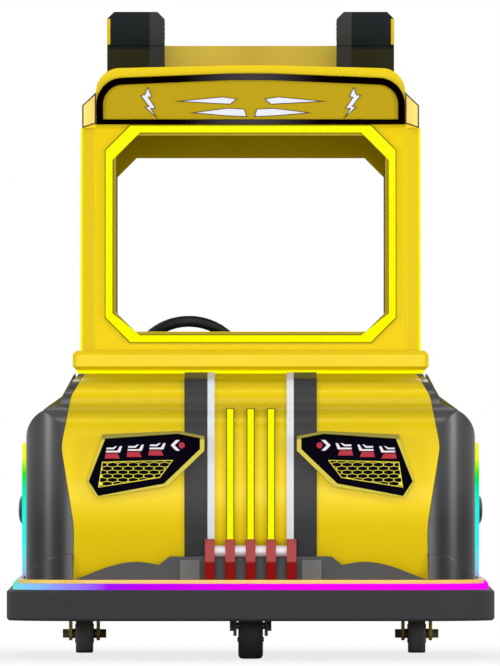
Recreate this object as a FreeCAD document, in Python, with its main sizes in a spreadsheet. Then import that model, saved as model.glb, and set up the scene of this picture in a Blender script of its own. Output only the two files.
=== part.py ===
import FreeCAD, Part
import math
import os
import re
import Sketcher

# A two-seat battery car for children, as run in shopping malls: a tub on a soft bumper, with one
# steered drive wheel in front and two plain wheels behind.
# +Z is up, -Y is forward and +X is the car's left. The origin is on the floor under the middle.
# Sizes are millimetres and degrees. "Half" is a distance from the middle plane X = 0, "Reach" a
# distance in front of Y = 0, "Back" one behind it, and "Top", "Bottom" and "Level" are heights.

SIZES = {
    # bumper, light strip and deck plate
    "BumperHalf": 550, "BumperLengthHalf": 780, "BumperBottom": 88, "BumperTop": 158,
    "BumperWall": 50, "BumperRadius": 190, "BumperEdge": 5,
    "StripInset": 14, "StripHeight": 14, "StripWall": 22,
    "PlateInset": 24, "PlateThick": 8.5,
    # chassis frame
    "FrameHeight": 50, "RailWidth": 44, "WellHalf": 120, "WellRadius": 112,
    "TurnplateRadius": 150, "TurnplateThick": 8,
    # front wheel and fork
    "FrontWheelInset": 260, "FrontWheelRadius": 75, "FrontWheelWidth": 56, "FrontHubRadius": 52,
    "FrontTyreBevel": 10, "FrontAxleRadius": 8, "ForkLeg": 7.5, "ForkGap": 3.5, "ForkLegHalf": 26,
    "ForkFoot": 23, "ForkCrownGap": 6, "ForkCrownThick": 9, "KingpinRadius": 14,
    "KingpinShoulder": 26, "KingpinRise": 44, "PlayGap": 0.3, "FitGap": 0.05,
    # rear wheels and brackets
    "RearWheelInset": 300, "RearWheelHalf": 382, "RearWheelRadius": 44.7, "RearWheelWidth": 40,
    "RearHubRadius": 27, "RearAxleRadius": 6, "BracketPitch": 31.6,
    "BracketThick": 8, "BracketLengthHalf": 25, "BracketBottom": 29, "BracketTopThick": 8,
    "NutWidth": 20, "NutHeight": 14.4, "SpacerRadius": 11,
    # body sides seen from the front
    "FenderWidth": 80, "FenderShoulder": 550, "FenderShoulderRound": 70, "FenderTopHalf": 430,
    "FenderTopLevel": 574, "FlankHalf": 419, "FlankLevel": 600, "FlankTopHalf": 388,
    "FenderCorner": 100, "TailRound": 40,
    # hood outline seen from the front
    "HoodFootHalf": 400, "HoodWaistHalf": 397, "HoodWaistLevel": 300, "HoodHipHalf": 426,
    "HoodHipLevel": 480, "HoodNeckHalf": 404, "HoodNeckLevel": 594, "HoodTopHalf": 374,
    "HoodTopLevel": 644, "HoodWaistRound": 300, "HoodHipRound": 90, "HoodNeckRound": 60,
    # hood outline seen from the side
    "NoseInset": 66, "ToeDrop": 28, "BulgeLevel": 352, "BulgeRound": 420, "BrowDrop": 20,
    "BrowLevel": 538, "BrowRound": 62, "CreaseDrop": 24, "CreaseLevel": 567, "CreaseRound": 34,
    "RollDrop": 4, "RollLevel": 626, "RollRound": 46, "RollTopDrop": 126,
    "HoodWall": 12, "HoodBack": 330, "FenderBack": 240,
    # tail, doorway and side walls
    "TailInset": 68, "TailFront": 470, "TailWall": 14, "SideHalf": 470, "SideInnerHalf": 400,
    "SideShoulderHalf": 428, "SideShoulderLow": 562, "SideShoulderLevel": 592,
    "DoorHalf": 190, "DoorSill": 300, "DoorRound": 40,
    # cowl ledge and its light line
    "LedgeHalf": 402, "LedgeLightHalf": 392, "LedgeLightHeight": 7, "LedgeTop": 696,
    "LedgeSet": 40, "LedgeChamfer": 9, "LedgeLightInset": 6, "CabSeat": 2,
    # cab
    "CabSet": 60, "CabLean": 6, "CabFrontHalf": 350, "CabHalf": 380, "CabFacet": 26,
    "CabTop": 1208, "SideTop": 1199.5, "FrontFrameThick": 40, "PillarFront": 72, "PillarBack": 84,
    "CabBack": 512, "SideBeam": 52, "SideOpenRound": 60, "EdgeLight": 5, "EdgeLightWidth": 16,
    "RearFrameThick": 40, "RearOpenHalf": 306, "RearOpenTop": 1138, "RearOpenBottom": 735,
    "RearOpenChamfer": 44,
    # front window and its light ring
    "WindowHalf": 305, "WindowBottom": 739, "WindowTop": 1184, "WindowChamfer": 43,
    "RingHalf": 328, "RingBottom": 715, "RingTop": 1205, "RingChamfer": 56, "RingWidth": 15.5,
    "RingProud": 8, "RingCornerTrim": 6.2,
    # roof, header, rails, pods and rear band
    "RoofHalf": 350, "RoofEdgeLevel": 1334, "RoofRound": 54, "RoofCrown": 1342, "RoofWall": 20,
    "RoofCeiling": 1296, "RoofBack": 524,
    "HeaderHalf": 349, "HeaderCornerLevel": 1311, "HeaderRound": 60, "HeaderTop": 1323,
    "HeaderBand": 15, "HeaderSill": 11, "HeaderProud": 12, "HeaderPanelProud": 7,
    "RailHalf": 381.5, "RailTop": 1281, "RailOuterTop": 1250,
    "PodInner": 197, "PodOuter": 328, "PodHeight": 170, "PodChamfer": 16, "PodFront": 150,
    "PodBack": 430, "SeamDrop": 86, "PodSeamHeight": 9, "PodSeamDepth": 3,
    "PodLift": 92, "BandHeight": 94.5, "BandFront": 330, "BandBack": 410,
    # nose: light bars, trims, guard tube and clamps
    "BarPitch": 46, "BarWidth": 14, "BarTop": 562, "BarProud": 5,
    "WhiteInner": 81, "WhiteOuter": 97, "TrimOuter": 149, "TrimProud": 3,
    "ClampWidth": 21.7, "ClampTop": 272, "ClampProud": 54, "ClampBevel": 16,
    "ClampBevelHeight": 10, "ClampSlope": 9, "ClampWaist": 221, "ClampUndercut": 5,
    "TubeRadius": 13, "TubeLevel": 245, "TubeProud": 4, "TubeEnd": 101,
    "SkirtHalf": 206, "SkirtTop": 233, "SkirtProud": 18, "SkirtSlant": 24,
    "BlockInner": 115, "BlockOuter": 159.5, "BlockTop": 225, "BlockProud": 34,
    "LipEnd": 396, "LipMidHalf": 318, "LipMidLevel": 211, "LipMidRound": 300,
    "LipInnerHalf": 262, "LipTop": 224, "LipInnerRound": 160, "LipDrop": 10,
    "FootTop": 240, "FootMidHalf": 452, "FootMidLevel": 231, "FootRound": 90, "FootEnd": 14,
    "FootProud": 8,
    # headlamps, seen from the front
    "LampProud": 10, "LampRecess": 8, "LampDepth": 40, "LampBand": 5,
    "LampEyeHalf": 332, "LampEyeLevel": 507, "LampTopHalf": 161.5, "LampTopLevel": 515,
    "LampTipHalf": 104, "LampTipTop": 504, "LampTipLow": 471, "LampBellyHalf": 187,
    "LampBellyLevel": 390, "LampFootHalf": 347, "LampFootLevel": 365, "LampCheekHalf": 369,
    "LampCheekLevel": 403,
    # the mesh, blocks and bars inside a headlamp
    "MeshThick": 3, "MeshRim": 1.6, "MeshInner": 174, "MeshInnerLow": 204, "MeshOuter": 334,
    "MeshOuterLow": 343, "MeshTop": 450, "MeshFall": 4, "MeshBottom": 388, "MeshRise": 22,
    "CellWidth": 23.4, "CellRow": 8.6, "CellNose": 3.4, "CellWall": 2, "CellColumnCount": 8,
    "CellPairCount": 4, "SignPitch": 49, "SignRise": 3.5, "SignCount": 3, "SignThick": 2,
    "BlockFirst": 326, "BlockLong": 32, "BlockLow": 453, "BlockHigh": 465, "BlockLean": 5,
    "BarLow": 467, "BarHigh": 471, "HookHigh": 481, "HookStart": 6, "HookWide": 5,
    "SecondGap": 3, "SecondShort": 9, "DotHalf": 155, "DotLevel": 483, "DotRadius": 7,
    "ChevronHalf": 180, "ChevronReach": 12, "ChevronBand": 9, "ChevronRise": 12,
    # seat, dashboard and battery
    "SeatHalf": 335, "SeatFront": 60, "SeatBack": 462, "SeatLevel": 390, "SeatWall": 15,
    "CushionThick": 72, "CushionLip": 12, "BackFront": 378, "BackTop": 726, "CushionRound": 22,
    "CushionGap": 0.3,
    "DashHalf": 350, "DashReach": 318, "DashThick": 60, "DashBottom": 560,
    "BatteryWidth": 340, "BatteryLength": 230, "BatteryHeight": 170, "BatteryBack": 150,
    # steering wheel
    "SteerHalf": 140, "SteerReach": 205, "SteerLevel": 653, "SteerTilt": 26, "SteerRadius": 121.5,
    "SteerTube": 13.5, "SteerFacet": 8, "SteerHubRadius": 34, "SteerHubHeight": 26, "SpokeWidth": 30,
    "SpokeThick": 9, "ColumnRadius": 19, "ColumnLength": 170, "ColumnGap": 1,
    # decorative side wheels
    "DiscReach": 400, "DiscBack": 430, "DiscLevel": 336, "DiscRadius": 139, "DiscThick": 8,
    "GlowRadius": 151, "GlowInner": 139, "GlowThick": 10, "CapRadius": 20, "CapThick": 16,
    "DishRadius": 122, "DishDepth": 5, "DiscSpokeCount": 5, "DiscSpokeWidth": 34, "DiscHub": 42,
    "SpokeSink": 1,
}

# Places that follow from the sizes: the body's side from the hood outward, the roof boxes from
# the cab upward, and the rest from the bumper's ends inward
PLACES = {
    "FenderHalf": "=HoodHipHalf + FenderWidth", "PodFoot": "=CabTop + PodLift",
    "PodTop": "=PodFoot + PodHeight", "PodSeam": "=PodTop - SeamDrop",
    "BandTop": "=PodFoot + BandHeight",
    "BulgeReach": "=BumperLengthHalf - NoseInset", "ToeReach": "=BulgeReach - ToeDrop",
    "BrowReach": "=BulgeReach - BrowDrop", "CreaseReach": "=BrowReach - CreaseDrop",
    "RollReach": "=CreaseReach - RollDrop", "RollTopReach": "=RollReach - RollTopDrop",
    "LedgeReach": "=RollTopReach - LedgeSet", "CabReach": "=LedgeReach - CabSet",
    "TubeReach": "=BulgeReach + TubeProud", "TailBack": "=BumperLengthHalf - TailInset",
    "FrontWheelReach": "=BumperLengthHalf - FrontWheelInset",
    "RearWheelBack": "=BumperLengthHalf - RearWheelInset",
}

DOC = FreeCAD.newDocument("MallRideOnCar")
SHEET = DOC.addObject("Spreadsheet::Sheet", "Sizes")
for row, (alias, number) in enumerate((SIZES | PLACES).items(), start=1):
    SHEET.set(f"A{row}", alias)
    SHEET.set(f"B{row}", str(number))
    SHEET.setAlias(f"B{row}", alias)
DOC.recompute()

NODES = []

# Heights and places worked out from the sizes above
DECK_TOP = "(BumperTop + StripHeight + PlateThick)"
FRAME_TOP = "(BumperTop + StripHeight)"
FRAME_BOTTOM = "(BumperTop + StripHeight - FrameHeight)"
CAB_FOOT = "(LedgeTop - CabSeat)"


def formula(text):
    """Turn a formula in the sheet's names into an expression that FreeCAD can bind."""
    return re.sub(r"\b([A-Z][A-Za-z]+)\b", r"Sizes.\1", str(text))


def value(text):
    """The present number of a formula in the sheet's names."""
    result = SHEET.evalExpression(formula(text))
    return float(getattr(result, "Value", result))


def keep(thing, label):
    """Name a finished sub-part, so that it is checked and written out."""
    thing.Label = label
    NODES.append(thing)
    return thing


def new_body(label, kept=True):
    body = DOC.addObject("PartDesign::Body", "Body")
    body.Label = label
    return keep(body, label) if kept else body


def new_sketch(body, role, offset="0"):
    """A sketch on one of the body's own planes, moved along the plane's normal."""
    plane = next(item for item in body.Origin.OriginFeatures if item.Role == role)
    sketch = body.newObject("Sketcher::SketchObject", "Sketch")
    sketch.AttachmentSupport = [(plane, "")]
    sketch.MapMode = "FlatFace"
    sketch.setExpression("AttachmentOffset.Base.z", formula(offset))
    return sketch


def fix_point(sketch, geometry, position, corner):
    """Bind a point of the sketch to the two formulas of a corner."""
    for kind, text in zip(("DistanceX", "DistanceY"), corner):
        number = sketch.addConstraint(
            Sketcher.Constraint(kind, -1, 1, geometry, position, value(text)))
        sketch.setExpression(f"Constraints[{number}]", formula(text))


def draw(sketch, corners):
    """A closed outline. A corner is (x, y) where it is sharp and (x, y, radius) where it is round."""
    count = len(corners)
    points = [FreeCAD.Vector(value(corner[0]), value(corner[1]), 0) for corner in corners]
    starts, ends, arcs = list(points), list(points), {}
    for index, corner in enumerate(corners):
        if len(corner) < 3:
            continue
        point = points[index]
        radius = value(corner[2])
        to_last = (points[index - 1] - point).normalize()
        to_next = (points[(index + 1) % count] - point).normalize()
        half = to_last.getAngle(to_next) / 2
        middle = (to_last + to_next).normalize()
        centre = point + middle * (radius / math.sin(half))
        first = point + to_last * (radius / math.tan(half))
        last = point + to_next * (radius / math.tan(half))
        ends[index], starts[index] = first, last
        forward = to_next.cross(to_last).z > 0
        angles = [math.atan2((item - centre).y, (item - centre).x) for item in (first, last)]
        if not forward:
            angles.reverse()
        circle = Part.Circle(centre, FreeCAD.Vector(0, 0, 1), radius)
        arcs[index] = (Part.ArcOfCircle(circle, *angles), forward)
    lines = [sketch.addGeometry(Part.LineSegment(starts[index], ends[(index + 1) % count]), False)
             for index in range(count)]
    for index, corner in enumerate(corners):
        before, after = lines[index - 1], lines[index]
        if index not in arcs:
            sketch.addConstraint(Sketcher.Constraint("Coincident", before, 2, after, 1))
            fix_point(sketch, after, 1, corner[:2])
            continue
        arc, forward = arcs[index]
        curve = sketch.addGeometry(arc, False)
        enter, leave = (1, 2) if forward else (2, 1)
        sketch.addConstraint(Sketcher.Constraint("Tangent", before, 2, curve, enter))
        sketch.addConstraint(Sketcher.Constraint("Tangent", curve, leave, after, 1))
        point = sketch.addGeometry(Part.Point(points[index]), True)
        sketch.addConstraint(Sketcher.Constraint("PointOnObject", point, 1, before))
        sketch.addConstraint(Sketcher.Constraint("PointOnObject", point, 1, after))
        fix_point(sketch, point, 1, corner[:2])
        number = sketch.addConstraint(Sketcher.Constraint("Radius", curve, value(corner[2])))
        sketch.setExpression(f"Constraints[{number}]", formula(corner[2]))
    return sketch


def circle(sketch, x, y, radius):
    """A circle whose centre and radius are bound to formulas."""
    centre = FreeCAD.Vector(value(x), value(y), 0)
    ring = sketch.addGeometry(Part.Circle(centre, FreeCAD.Vector(0, 0, 1), value(radius)), False)
    fix_point(sketch, ring, 3, (x, y))
    number = sketch.addConstraint(Sketcher.Constraint("Radius", ring, value(radius)))
    sketch.setExpression(f"Constraints[{number}]", formula(radius))
    return sketch


def front_sketch(body, reach="0"):
    """A sketch seen from the front, X across and Z up, `reach` in front of the middle."""
    return new_sketch(body, "XZ_Plane", reach)


def side_sketch(body, across="0"):
    """A sketch seen from the car's side, Y across and Z up, at X = `across`."""
    return new_sketch(body, "YZ_Plane", across)


def plan_sketch(body, level="0"):
    """A sketch seen from above, X across and Y up, at Z = `level`."""
    return new_sketch(body, "XY_Plane", level)


def pad(body, sketch, length, both=False, back=False):
    feature = body.newObject("PartDesign::Pad", "Pad")
    feature.Profile = sketch
    feature.setExpression("Length", formula(length))
    feature.Midplane = both
    feature.Reversed = back
    DOC.recompute()
    return feature


def pocket(body, sketch, length, both=False, back=False):
    """Cut a sketch into the body and make sure that it took something away."""
    before = body.Shape.Volume
    feature = body.newObject("PartDesign::Pocket", "Pocket")
    feature.Profile = sketch
    feature.setExpression("Length", formula(length))
    feature.Midplane = both
    feature.Reversed = back
    DOC.recompute()
    if body.Shape.Volume >= before:
        raise ValueError(f"A pocket of {body.Label} removes nothing")
    return feature


def edges_where(shape, wanted):
    return [f"Edge{index}" for index, edge in enumerate(shape.Edges, start=1) if wanted(edge)]


def soften(body, radius, wanted, kind="Fillet"):
    """Round or chamfer the edges of the body that `wanted` picks."""
    last = body.Tip
    names = edges_where(last.Shape, wanted)
    feature = body.newObject(f"PartDesign::{kind}", kind)
    feature.Base = (last, names)
    feature.setExpression("Radius" if kind == "Fillet" else "Size", formula(radius))
    DOC.recompute()
    return feature


def along(edge, axis):
    """True for a straight edge that runs along one axis."""
    if not isinstance(edge.Curve, Part.Line):
        return False
    return abs(abs(edge.Curve.Direction.dot(axis)) - 1) < 1e-6


X_AXIS, Y_AXIS, Z_AXIS = (FreeCAD.Vector(*axis) for axis in ((1, 0, 0), (0, 1, 0), (0, 0, 1)))


def box(low, high, label=None):
    """A Part::Box between two corners given as formulas."""
    thing = DOC.addObject("Part::Box", "Box")
    for side, axis, start, end in zip(("Length", "Width", "Height"), "xyz", low, high):
        thing.setExpression(side, formula(f"({end}) - ({start})"))
        thing.setExpression(f"Placement.Base.{axis}", formula(start))
    return keep(thing, label) if label else thing


def cylinder(place, axis, radius, length, label=None):
    """A Part::Cylinder from a start point, along one axis."""
    thing = DOC.addObject("Part::Cylinder", "Cylinder")
    thing.setExpression("Radius", formula(radius))
    thing.setExpression("Height", formula(length))
    thing.Placement = FreeCAD.Placement(FreeCAD.Vector(), FreeCAD.Rotation(Z_AXIS, axis))
    for letter, text in zip("xyz", place):
        thing.setExpression(f"Placement.Base.{letter}", formula(text))
    return keep(thing, label) if label else thing


def fuse(things, label=None):
    thing = DOC.addObject("Part::MultiFuse", "Fuse")
    thing.Shapes = things
    thing.Refine = True
    return keep(thing, label) if label else thing


def cut(base, tool, label=None):
    thing = DOC.addObject("Part::Cut", "Cut")
    thing.Base = base
    thing.Tool = tool
    return keep(thing, label) if label else thing


def gather(things, label):
    """Several solids that don't touch, kept as one sub-part."""
    thing = DOC.addObject("Part::Compound", "Compound")
    thing.Links = things
    return keep(thing, label)


def rectangle(x0, x1, y0, y1, radius=None):
    corners = [(x0, y0), (x1, y0), (x1, y1), (x0, y1)]
    return [corner + (radius,) for corner in corners] if radius else corners


def mirrored(corners):
    """The right half of an outline, from bottom to top, with its mirror image added."""
    return corners + [(f"-({corner[0]})",) + tuple(corner[1:]) for corner in reversed(corners)]


# ---------------------------------------------------------------------------------------------
# Base: bumper, light strip, deck plate and chassis frame
# ---------------------------------------------------------------------------------------------

def rounded_plan(inset):
    """The base's outline, seen from above, moved inward."""
    half = f"(BumperHalf - ({inset}))"
    length = f"(BumperLengthHalf - ({inset}))"
    return rectangle(f"-{half}", half, f"-{length}", length, f"(BumperRadius - ({inset}))")


def ring_around(label, inset, wall, bottom, height):
    body = new_body(label)
    sketch = plan_sketch(body, bottom)
    draw(sketch, rounded_plan(inset))
    draw(sketch, rounded_plan(f"{inset} + {wall}"))
    pad(body, sketch, height)
    return body


def make_bumper():
    body = ring_around("bumper_band", "0", "BumperWall", "BumperBottom", "BumperTop - BumperBottom")
    limit = value("BumperHalf - BumperWall / 2")
    length = value("BumperLengthHalf - BumperWall / 2")
    soften(body, "BumperEdge", lambda edge: (
        edge.BoundBox.ZLength < 1e-6
        and (edge.BoundBox.XMax > limit or edge.BoundBox.XMin < -limit
             or edge.BoundBox.YMax > length or edge.BoundBox.YMin < -length)), "Chamfer")


def make_strip():
    ring_around("base_light_strip", "StripInset", "StripWall", "BumperTop", "StripHeight")


def make_plate():
    body = new_body("base_plate")
    sketch = draw(plan_sketch(body, FRAME_TOP), rounded_plan("PlateInset"))
    circle(sketch, "0", "-FrontWheelReach", "WellRadius")
    pad(body, sketch, "PlateThick")


def make_frame():
    """A welded ladder of flat rails with a square well for the drive wheel."""
    body = new_body("chassis_frame")
    half = "(BumperHalf - BumperWall)"
    length = "(BumperLengthHalf - BumperWall)"
    sketch = draw(plan_sketch(body, FRAME_BOTTOM), rounded_plan("BumperWall"))
    well_front = "-(FrontWheelReach + WellHalf)"
    well_back = "-(FrontWheelReach - WellHalf)"
    bay = f"({half} - RailWidth)"
    draw(sketch, rectangle("-WellHalf", "WellHalf", well_front, well_back))
    for sign in ("", "-"):
        inner = f"{sign}(WellHalf + RailWidth)"
        draw(sketch, rectangle(inner, f"{sign}{bay}", well_front, well_back))
    rear_rail = "(RearWheelBack - BracketLengthHalf - RailWidth / 4)"
    tail_rail = "(RearWheelBack + BracketLengthHalf + RailWidth / 4)"
    middle = f"({rear_rail} + ({well_back})) / 2"
    for start, end in ((f"{well_back} + RailWidth", f"{middle} - RailWidth / 2"),
                       (f"{middle} + RailWidth / 2", rear_rail)):
        for sign in ("", "-"):
            draw(sketch, rectangle(f"{sign}RailWidth / 2", f"{sign}{bay}", start, end))
    end = f"({length} - RailWidth)"
    draw(sketch, rectangle("-(RearWheelHalf - BracketPitch)", "RearWheelHalf - BracketPitch",
                           tail_rail, end))
    pad(body, sketch, "FrameHeight")


def make_turnplate():
    """The plate over the well, with the bearing hole for the fork's kingpin."""
    body = new_body("fork_turnplate")
    sketch = circle(plan_sketch(body, DECK_TOP), "0", "-FrontWheelReach", "TurnplateRadius")
    circle(sketch, "0", "-FrontWheelReach", "KingpinRadius + FitGap")
    pad(body, sketch, "TurnplateThick")


# ---------------------------------------------------------------------------------------------
# Running gear
# ---------------------------------------------------------------------------------------------

def wheel_ring(label, place, outer, inner, width, edge):
    """A ring on a cross axle: a tyre or a hub, with its outer edges bevelled."""
    body = new_body(label)
    across, along_y, level = place
    sketch = side_sketch(body, f"{across} - ({width}) / 2")
    circle(sketch, along_y, level, outer)
    circle(sketch, along_y, level, inner)
    pad(body, sketch, width)
    if edge:
        rim = value(outer)
        soften(body, edge, lambda item: (
            isinstance(item.Curve, Part.Circle) and abs(item.Curve.Radius - rim) < 1e-3),
            "Chamfer")
    return body


def make_rear_wheels():
    for side, sign in (("left", "1"), ("right", "-1")):
        place = (f"{sign} * RearWheelHalf", "RearWheelBack", "RearWheelRadius")
        wheel_ring(f"rear_tyre_{side}", place, "RearWheelRadius", "RearHubRadius",
                   "RearWheelWidth", None)
        wheel_ring(f"rear_hub_{side}", place, "RearHubRadius", "RearAxleRadius + FitGap",
                   "RearWheelWidth", None)


def make_brackets():
    """A folded steel bracket over each rear wheel, welded under the frame."""
    body_list = []
    for sign in ("1", "-1"):
        body = new_body(f"bracket {sign}", kept=False)
        outer = "(BracketPitch + BracketThick / 2)"
        inner = "(BracketPitch - BracketThick / 2)"
        centre = f"{sign} * RearWheelHalf"
        corners = [(f"{centre} - {outer}", "BracketBottom"), (f"{centre} - {inner}", "BracketBottom"),
                   (f"{centre} - {inner}", f"{FRAME_BOTTOM} - BracketTopThick"),
                   (f"{centre} + {inner}", f"{FRAME_BOTTOM} - BracketTopThick"),
                   (f"{centre} + {inner}", "BracketBottom"), (f"{centre} + {outer}", "BracketBottom"),
                   (f"{centre} + {outer}", FRAME_BOTTOM), (f"{centre} - {outer}", FRAME_BOTTOM)]
        sketch = draw(front_sketch(body, "-(RearWheelBack + BracketLengthHalf)"), corners)
        pad(body, sketch, "2 * BracketLengthHalf")
        hole = circle(side_sketch(body, f"{centre} + {outer}"), "RearWheelBack", "RearWheelRadius",
                      "RearAxleRadius")
        pocket(body, hole, f"2 * {outer}")
        foot = value("BracketBottom")
        soften(body, "BracketLengthHalf * 0.4", lambda edge: (
            along(edge, X_AXIS) and abs(edge.BoundBox.ZMin - foot) < 1e-6), "Chamfer")
        body_list.append(body)
    gather(body_list, "wheel_brackets")


def hexagon(y, z, width):
    """A hexagon's corners in a side view, with two level flats."""
    radius = f"({width}) / sqrt(3)"
    return [(f"{y} + {radius} * cos({angle})", f"{z} + {radius} * sin({angle})")
            for angle in range(0, 360, 60)]


def make_rear_axles():
    """A bolt through each bracket, with a spacer on either side of the wheel and end nuts."""
    body_list = []
    for sign in ("1", "-1"):
        centre = f"{sign} * RearWheelHalf"
        plate = "(BracketPitch + BracketThick / 2)"
        inner = "(BracketPitch - BracketThick / 2)"
        body = new_body(f"axle {sign}", kept=False)
        shaft = circle(side_sketch(body, centre), "RearWheelBack", "RearWheelRadius",
                       "RearAxleRadius")
        pad(body, shaft, f"2 * {plate} + 2 * NutHeight", both=True)
        for end in ("1", "-1"):
            nut = draw(side_sketch(body, f"{centre} + {end} * {plate}"),
                       hexagon("RearWheelBack", "RearWheelRadius", "NutWidth"))
            pad(body, nut, "NutHeight", back=end == "-1")
            spacer = circle(side_sketch(body, f"{centre} + {end} * {inner}"), "RearWheelBack",
                            "RearWheelRadius", "SpacerRadius")
            pad(body, spacer, f"{inner} - RearWheelWidth / 2 - PlayGap", back=end == "1")
        body_list.append(body)
    gather(body_list, "rear_axles")


def make_fork():
    """The crown, its two legs and the kingpin that turns in the turnplate."""
    body = new_body("front_fork")
    crown = "(2 * FrontWheelRadius + ForkCrownGap)"
    inner = "(FrontWheelWidth / 2 + ForkGap)"
    outer = "(FrontWheelWidth / 2 + ForkGap + ForkLeg)"
    foot = "(FrontWheelRadius - ForkFoot)"
    corners = mirrored([(inner, foot), (outer, foot), (outer, f"{crown} + ForkCrownThick")])
    corners = corners[:3] + corners[3:] + [(f"-{inner}", crown), (inner, crown)]
    sketch = draw(front_sketch(body, "FrontWheelReach + ForkLegHalf"), corners)
    pad(body, sketch, "2 * ForkLegHalf", back=True)
    hole = circle(side_sketch(body, outer), "-FrontWheelReach", "FrontWheelRadius",
                  "FrontAxleRadius")
    pocket(body, hole, f"2 * {outer}")
    shoulder = circle(plan_sketch(body, f"{crown} + ForkCrownThick"), "0", "-FrontWheelReach",
                      "KingpinShoulder")
    pad(body, shoulder, f"{DECK_TOP} - {crown} - ForkCrownThick - PlayGap")
    pin = circle(plan_sketch(body, f"{crown} + ForkCrownThick"), "0", "-FrontWheelReach",
                 "KingpinRadius")
    pad(body, pin, "KingpinRise")


def make_front_wheel():
    place = ("0", "-FrontWheelReach", "FrontWheelRadius")
    wheel_ring("front_tyre", place, "FrontWheelRadius", "FrontHubRadius", "FrontWheelWidth",
               "FrontTyreBevel")
    wheel_ring("front_hub", place, "FrontHubRadius", "FrontAxleRadius + FitGap",
               "FrontWheelWidth", None)
    outer = "(FrontWheelWidth / 2 + ForkGap + ForkLeg)"
    body = new_body("front_axle")
    shaft = circle(side_sketch(body), "-FrontWheelReach", "FrontWheelRadius", "FrontAxleRadius")
    pad(body, shaft, f"2 * {outer}", both=True)
    for end in ("1", "-1"):
        nut = draw(side_sketch(body, f"{end} * {outer}"),
                   hexagon("-FrontWheelReach", "FrontWheelRadius", "3 * FrontAxleRadius"))
        pad(body, nut, "FrontAxleRadius", back=end == "-1")


# ---------------------------------------------------------------------------------------------
# Body shell
# ---------------------------------------------------------------------------------------------

def hood_edge():
    """The line between hood and fender seen from the front, from its foot to its top."""
    return [("HoodFootHalf", DECK_TOP),
            ("HoodWaistHalf", "HoodWaistLevel", "HoodWaistRound"),
            ("HoodHipHalf", "HoodHipLevel", "HoodHipRound"),
            ("HoodNeckHalf", "HoodNeckLevel", "HoodNeckRound"),
            ("HoodTopHalf", "HoodTopLevel")]


def fender_edge():
    """A fender's outer line seen from the front, from its foot to its top."""
    return [("FenderHalf", DECK_TOP),
            ("FenderHalf", "FenderShoulder", "FenderShoulderRound"),
            ("FenderTopHalf", "FenderTopLevel"), ("FlankHalf", "FlankLevel"),
            ("FlankTopHalf", "HoodTopLevel")]


def between(reach_low, reach_high, level_low, level_high, level):
    """The reach at a level on the straight line between two points of the nose."""
    share = f"(({level}) - ({level_low})) / (({level_high}) - ({level_low}))"
    return f"({reach_low} + ({reach_high} - {reach_low}) * {share})"


def nose_line(proud="0", low=DECK_TOP, high="HoodTopLevel"):
    """The hood's front seen from the side, moved forward, between two levels."""
    foot = between("ToeReach", "BulgeReach", DECK_TOP, "BulgeLevel", low)
    line = [(f"-({foot} + {proud})", low), (f"-(BulgeReach + {proud})", "BulgeLevel", "BulgeRound"),
            (f"-(BrowReach + {proud})", "BrowLevel", "BrowRound")]
    if high != "HoodTopLevel":
        end = between("BrowReach", "CreaseReach", "BrowLevel", "CreaseLevel", high)
        return line + [(f"-({end} + {proud})", f"{high} + {proud} / 2")]
    return line + [(f"-(CreaseReach + {proud})", f"CreaseLevel + {proud} / 2", "CreaseRound"),
                   (f"-(RollReach + {proud})", f"RollLevel + {proud}", "RollRound"),
                   ("-RollTopReach", f"HoodTopLevel + {proud}")]


def hood_side(proud="0"):
    """The whole hood seen from the side."""
    return nose_line(proud) + [("-HoodBack", f"HoodTopLevel + {proud}"), ("-HoodBack", DECK_TOP)]


def lamp_outline(sign, band="0"):
    """A headlamp seen from the front: a wedge with its point towards the car's middle. `band`
    moves each corner inward, by shares that keep the frame about equally wide all round."""
    corners = (("LampEyeHalf", "LampEyeLevel", -1, -1.8), ("LampTopHalf", "LampTopLevel", 0.4, -1.2),
               ("LampTipHalf", "LampTipTop", 2, -1), ("LampTipHalf", "LampTipLow", 2, 0.7),
               ("LampBellyHalf", "LampBellyLevel", 1.6, 1.4),
               ("LampFootHalf", "LampFootLevel", -0.8, 0.8),
               ("LampCheekHalf", "LampCheekLevel", -0.9, -0.2))
    return [(f"{sign} * ({half} + {across} * {band})", f"{level} + {up} * {band}")
            for half, level, across, up in corners]


def make_hood():
    """The hood: a moulded shell, open to the cab behind and to the deck below."""
    body = new_body("hood_shell")
    pad(body, draw(side_sketch(body), hood_side()), "4 * FenderHalf", both=True)
    wide = "2 * FenderHalf"
    for sign in ("", "-"):
        waste = [(f"{sign}{corner[0]}",) + corner[1:] for corner in hood_edge()]
        waste += [(f"{sign}{wide}", "HoodTopLevel"), (f"{sign}{wide}", DECK_TOP)]
        pocket(body, draw(front_sketch(body, "2 * BulgeReach"), waste), "2 * BulgeReach")
    cavity = nose_line("-HoodWall")[:-1] + [("-RollTopReach", "HoodTopLevel - HoodWall"),
                                            ("-HoodBack", "HoodTopLevel - HoodWall"),
                                            ("-HoodBack", DECK_TOP)]
    pocket(body, draw(side_sketch(body), cavity), "2 * (HoodTopHalf - HoodWall)", both=True)
    for sign in ("1", "-1"):
        sketch = draw(front_sketch(body, "BulgeReach - LampDepth"), lamp_outline(sign))
        pocket(body, sketch, "2 * LampDepth", back=True)


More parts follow.
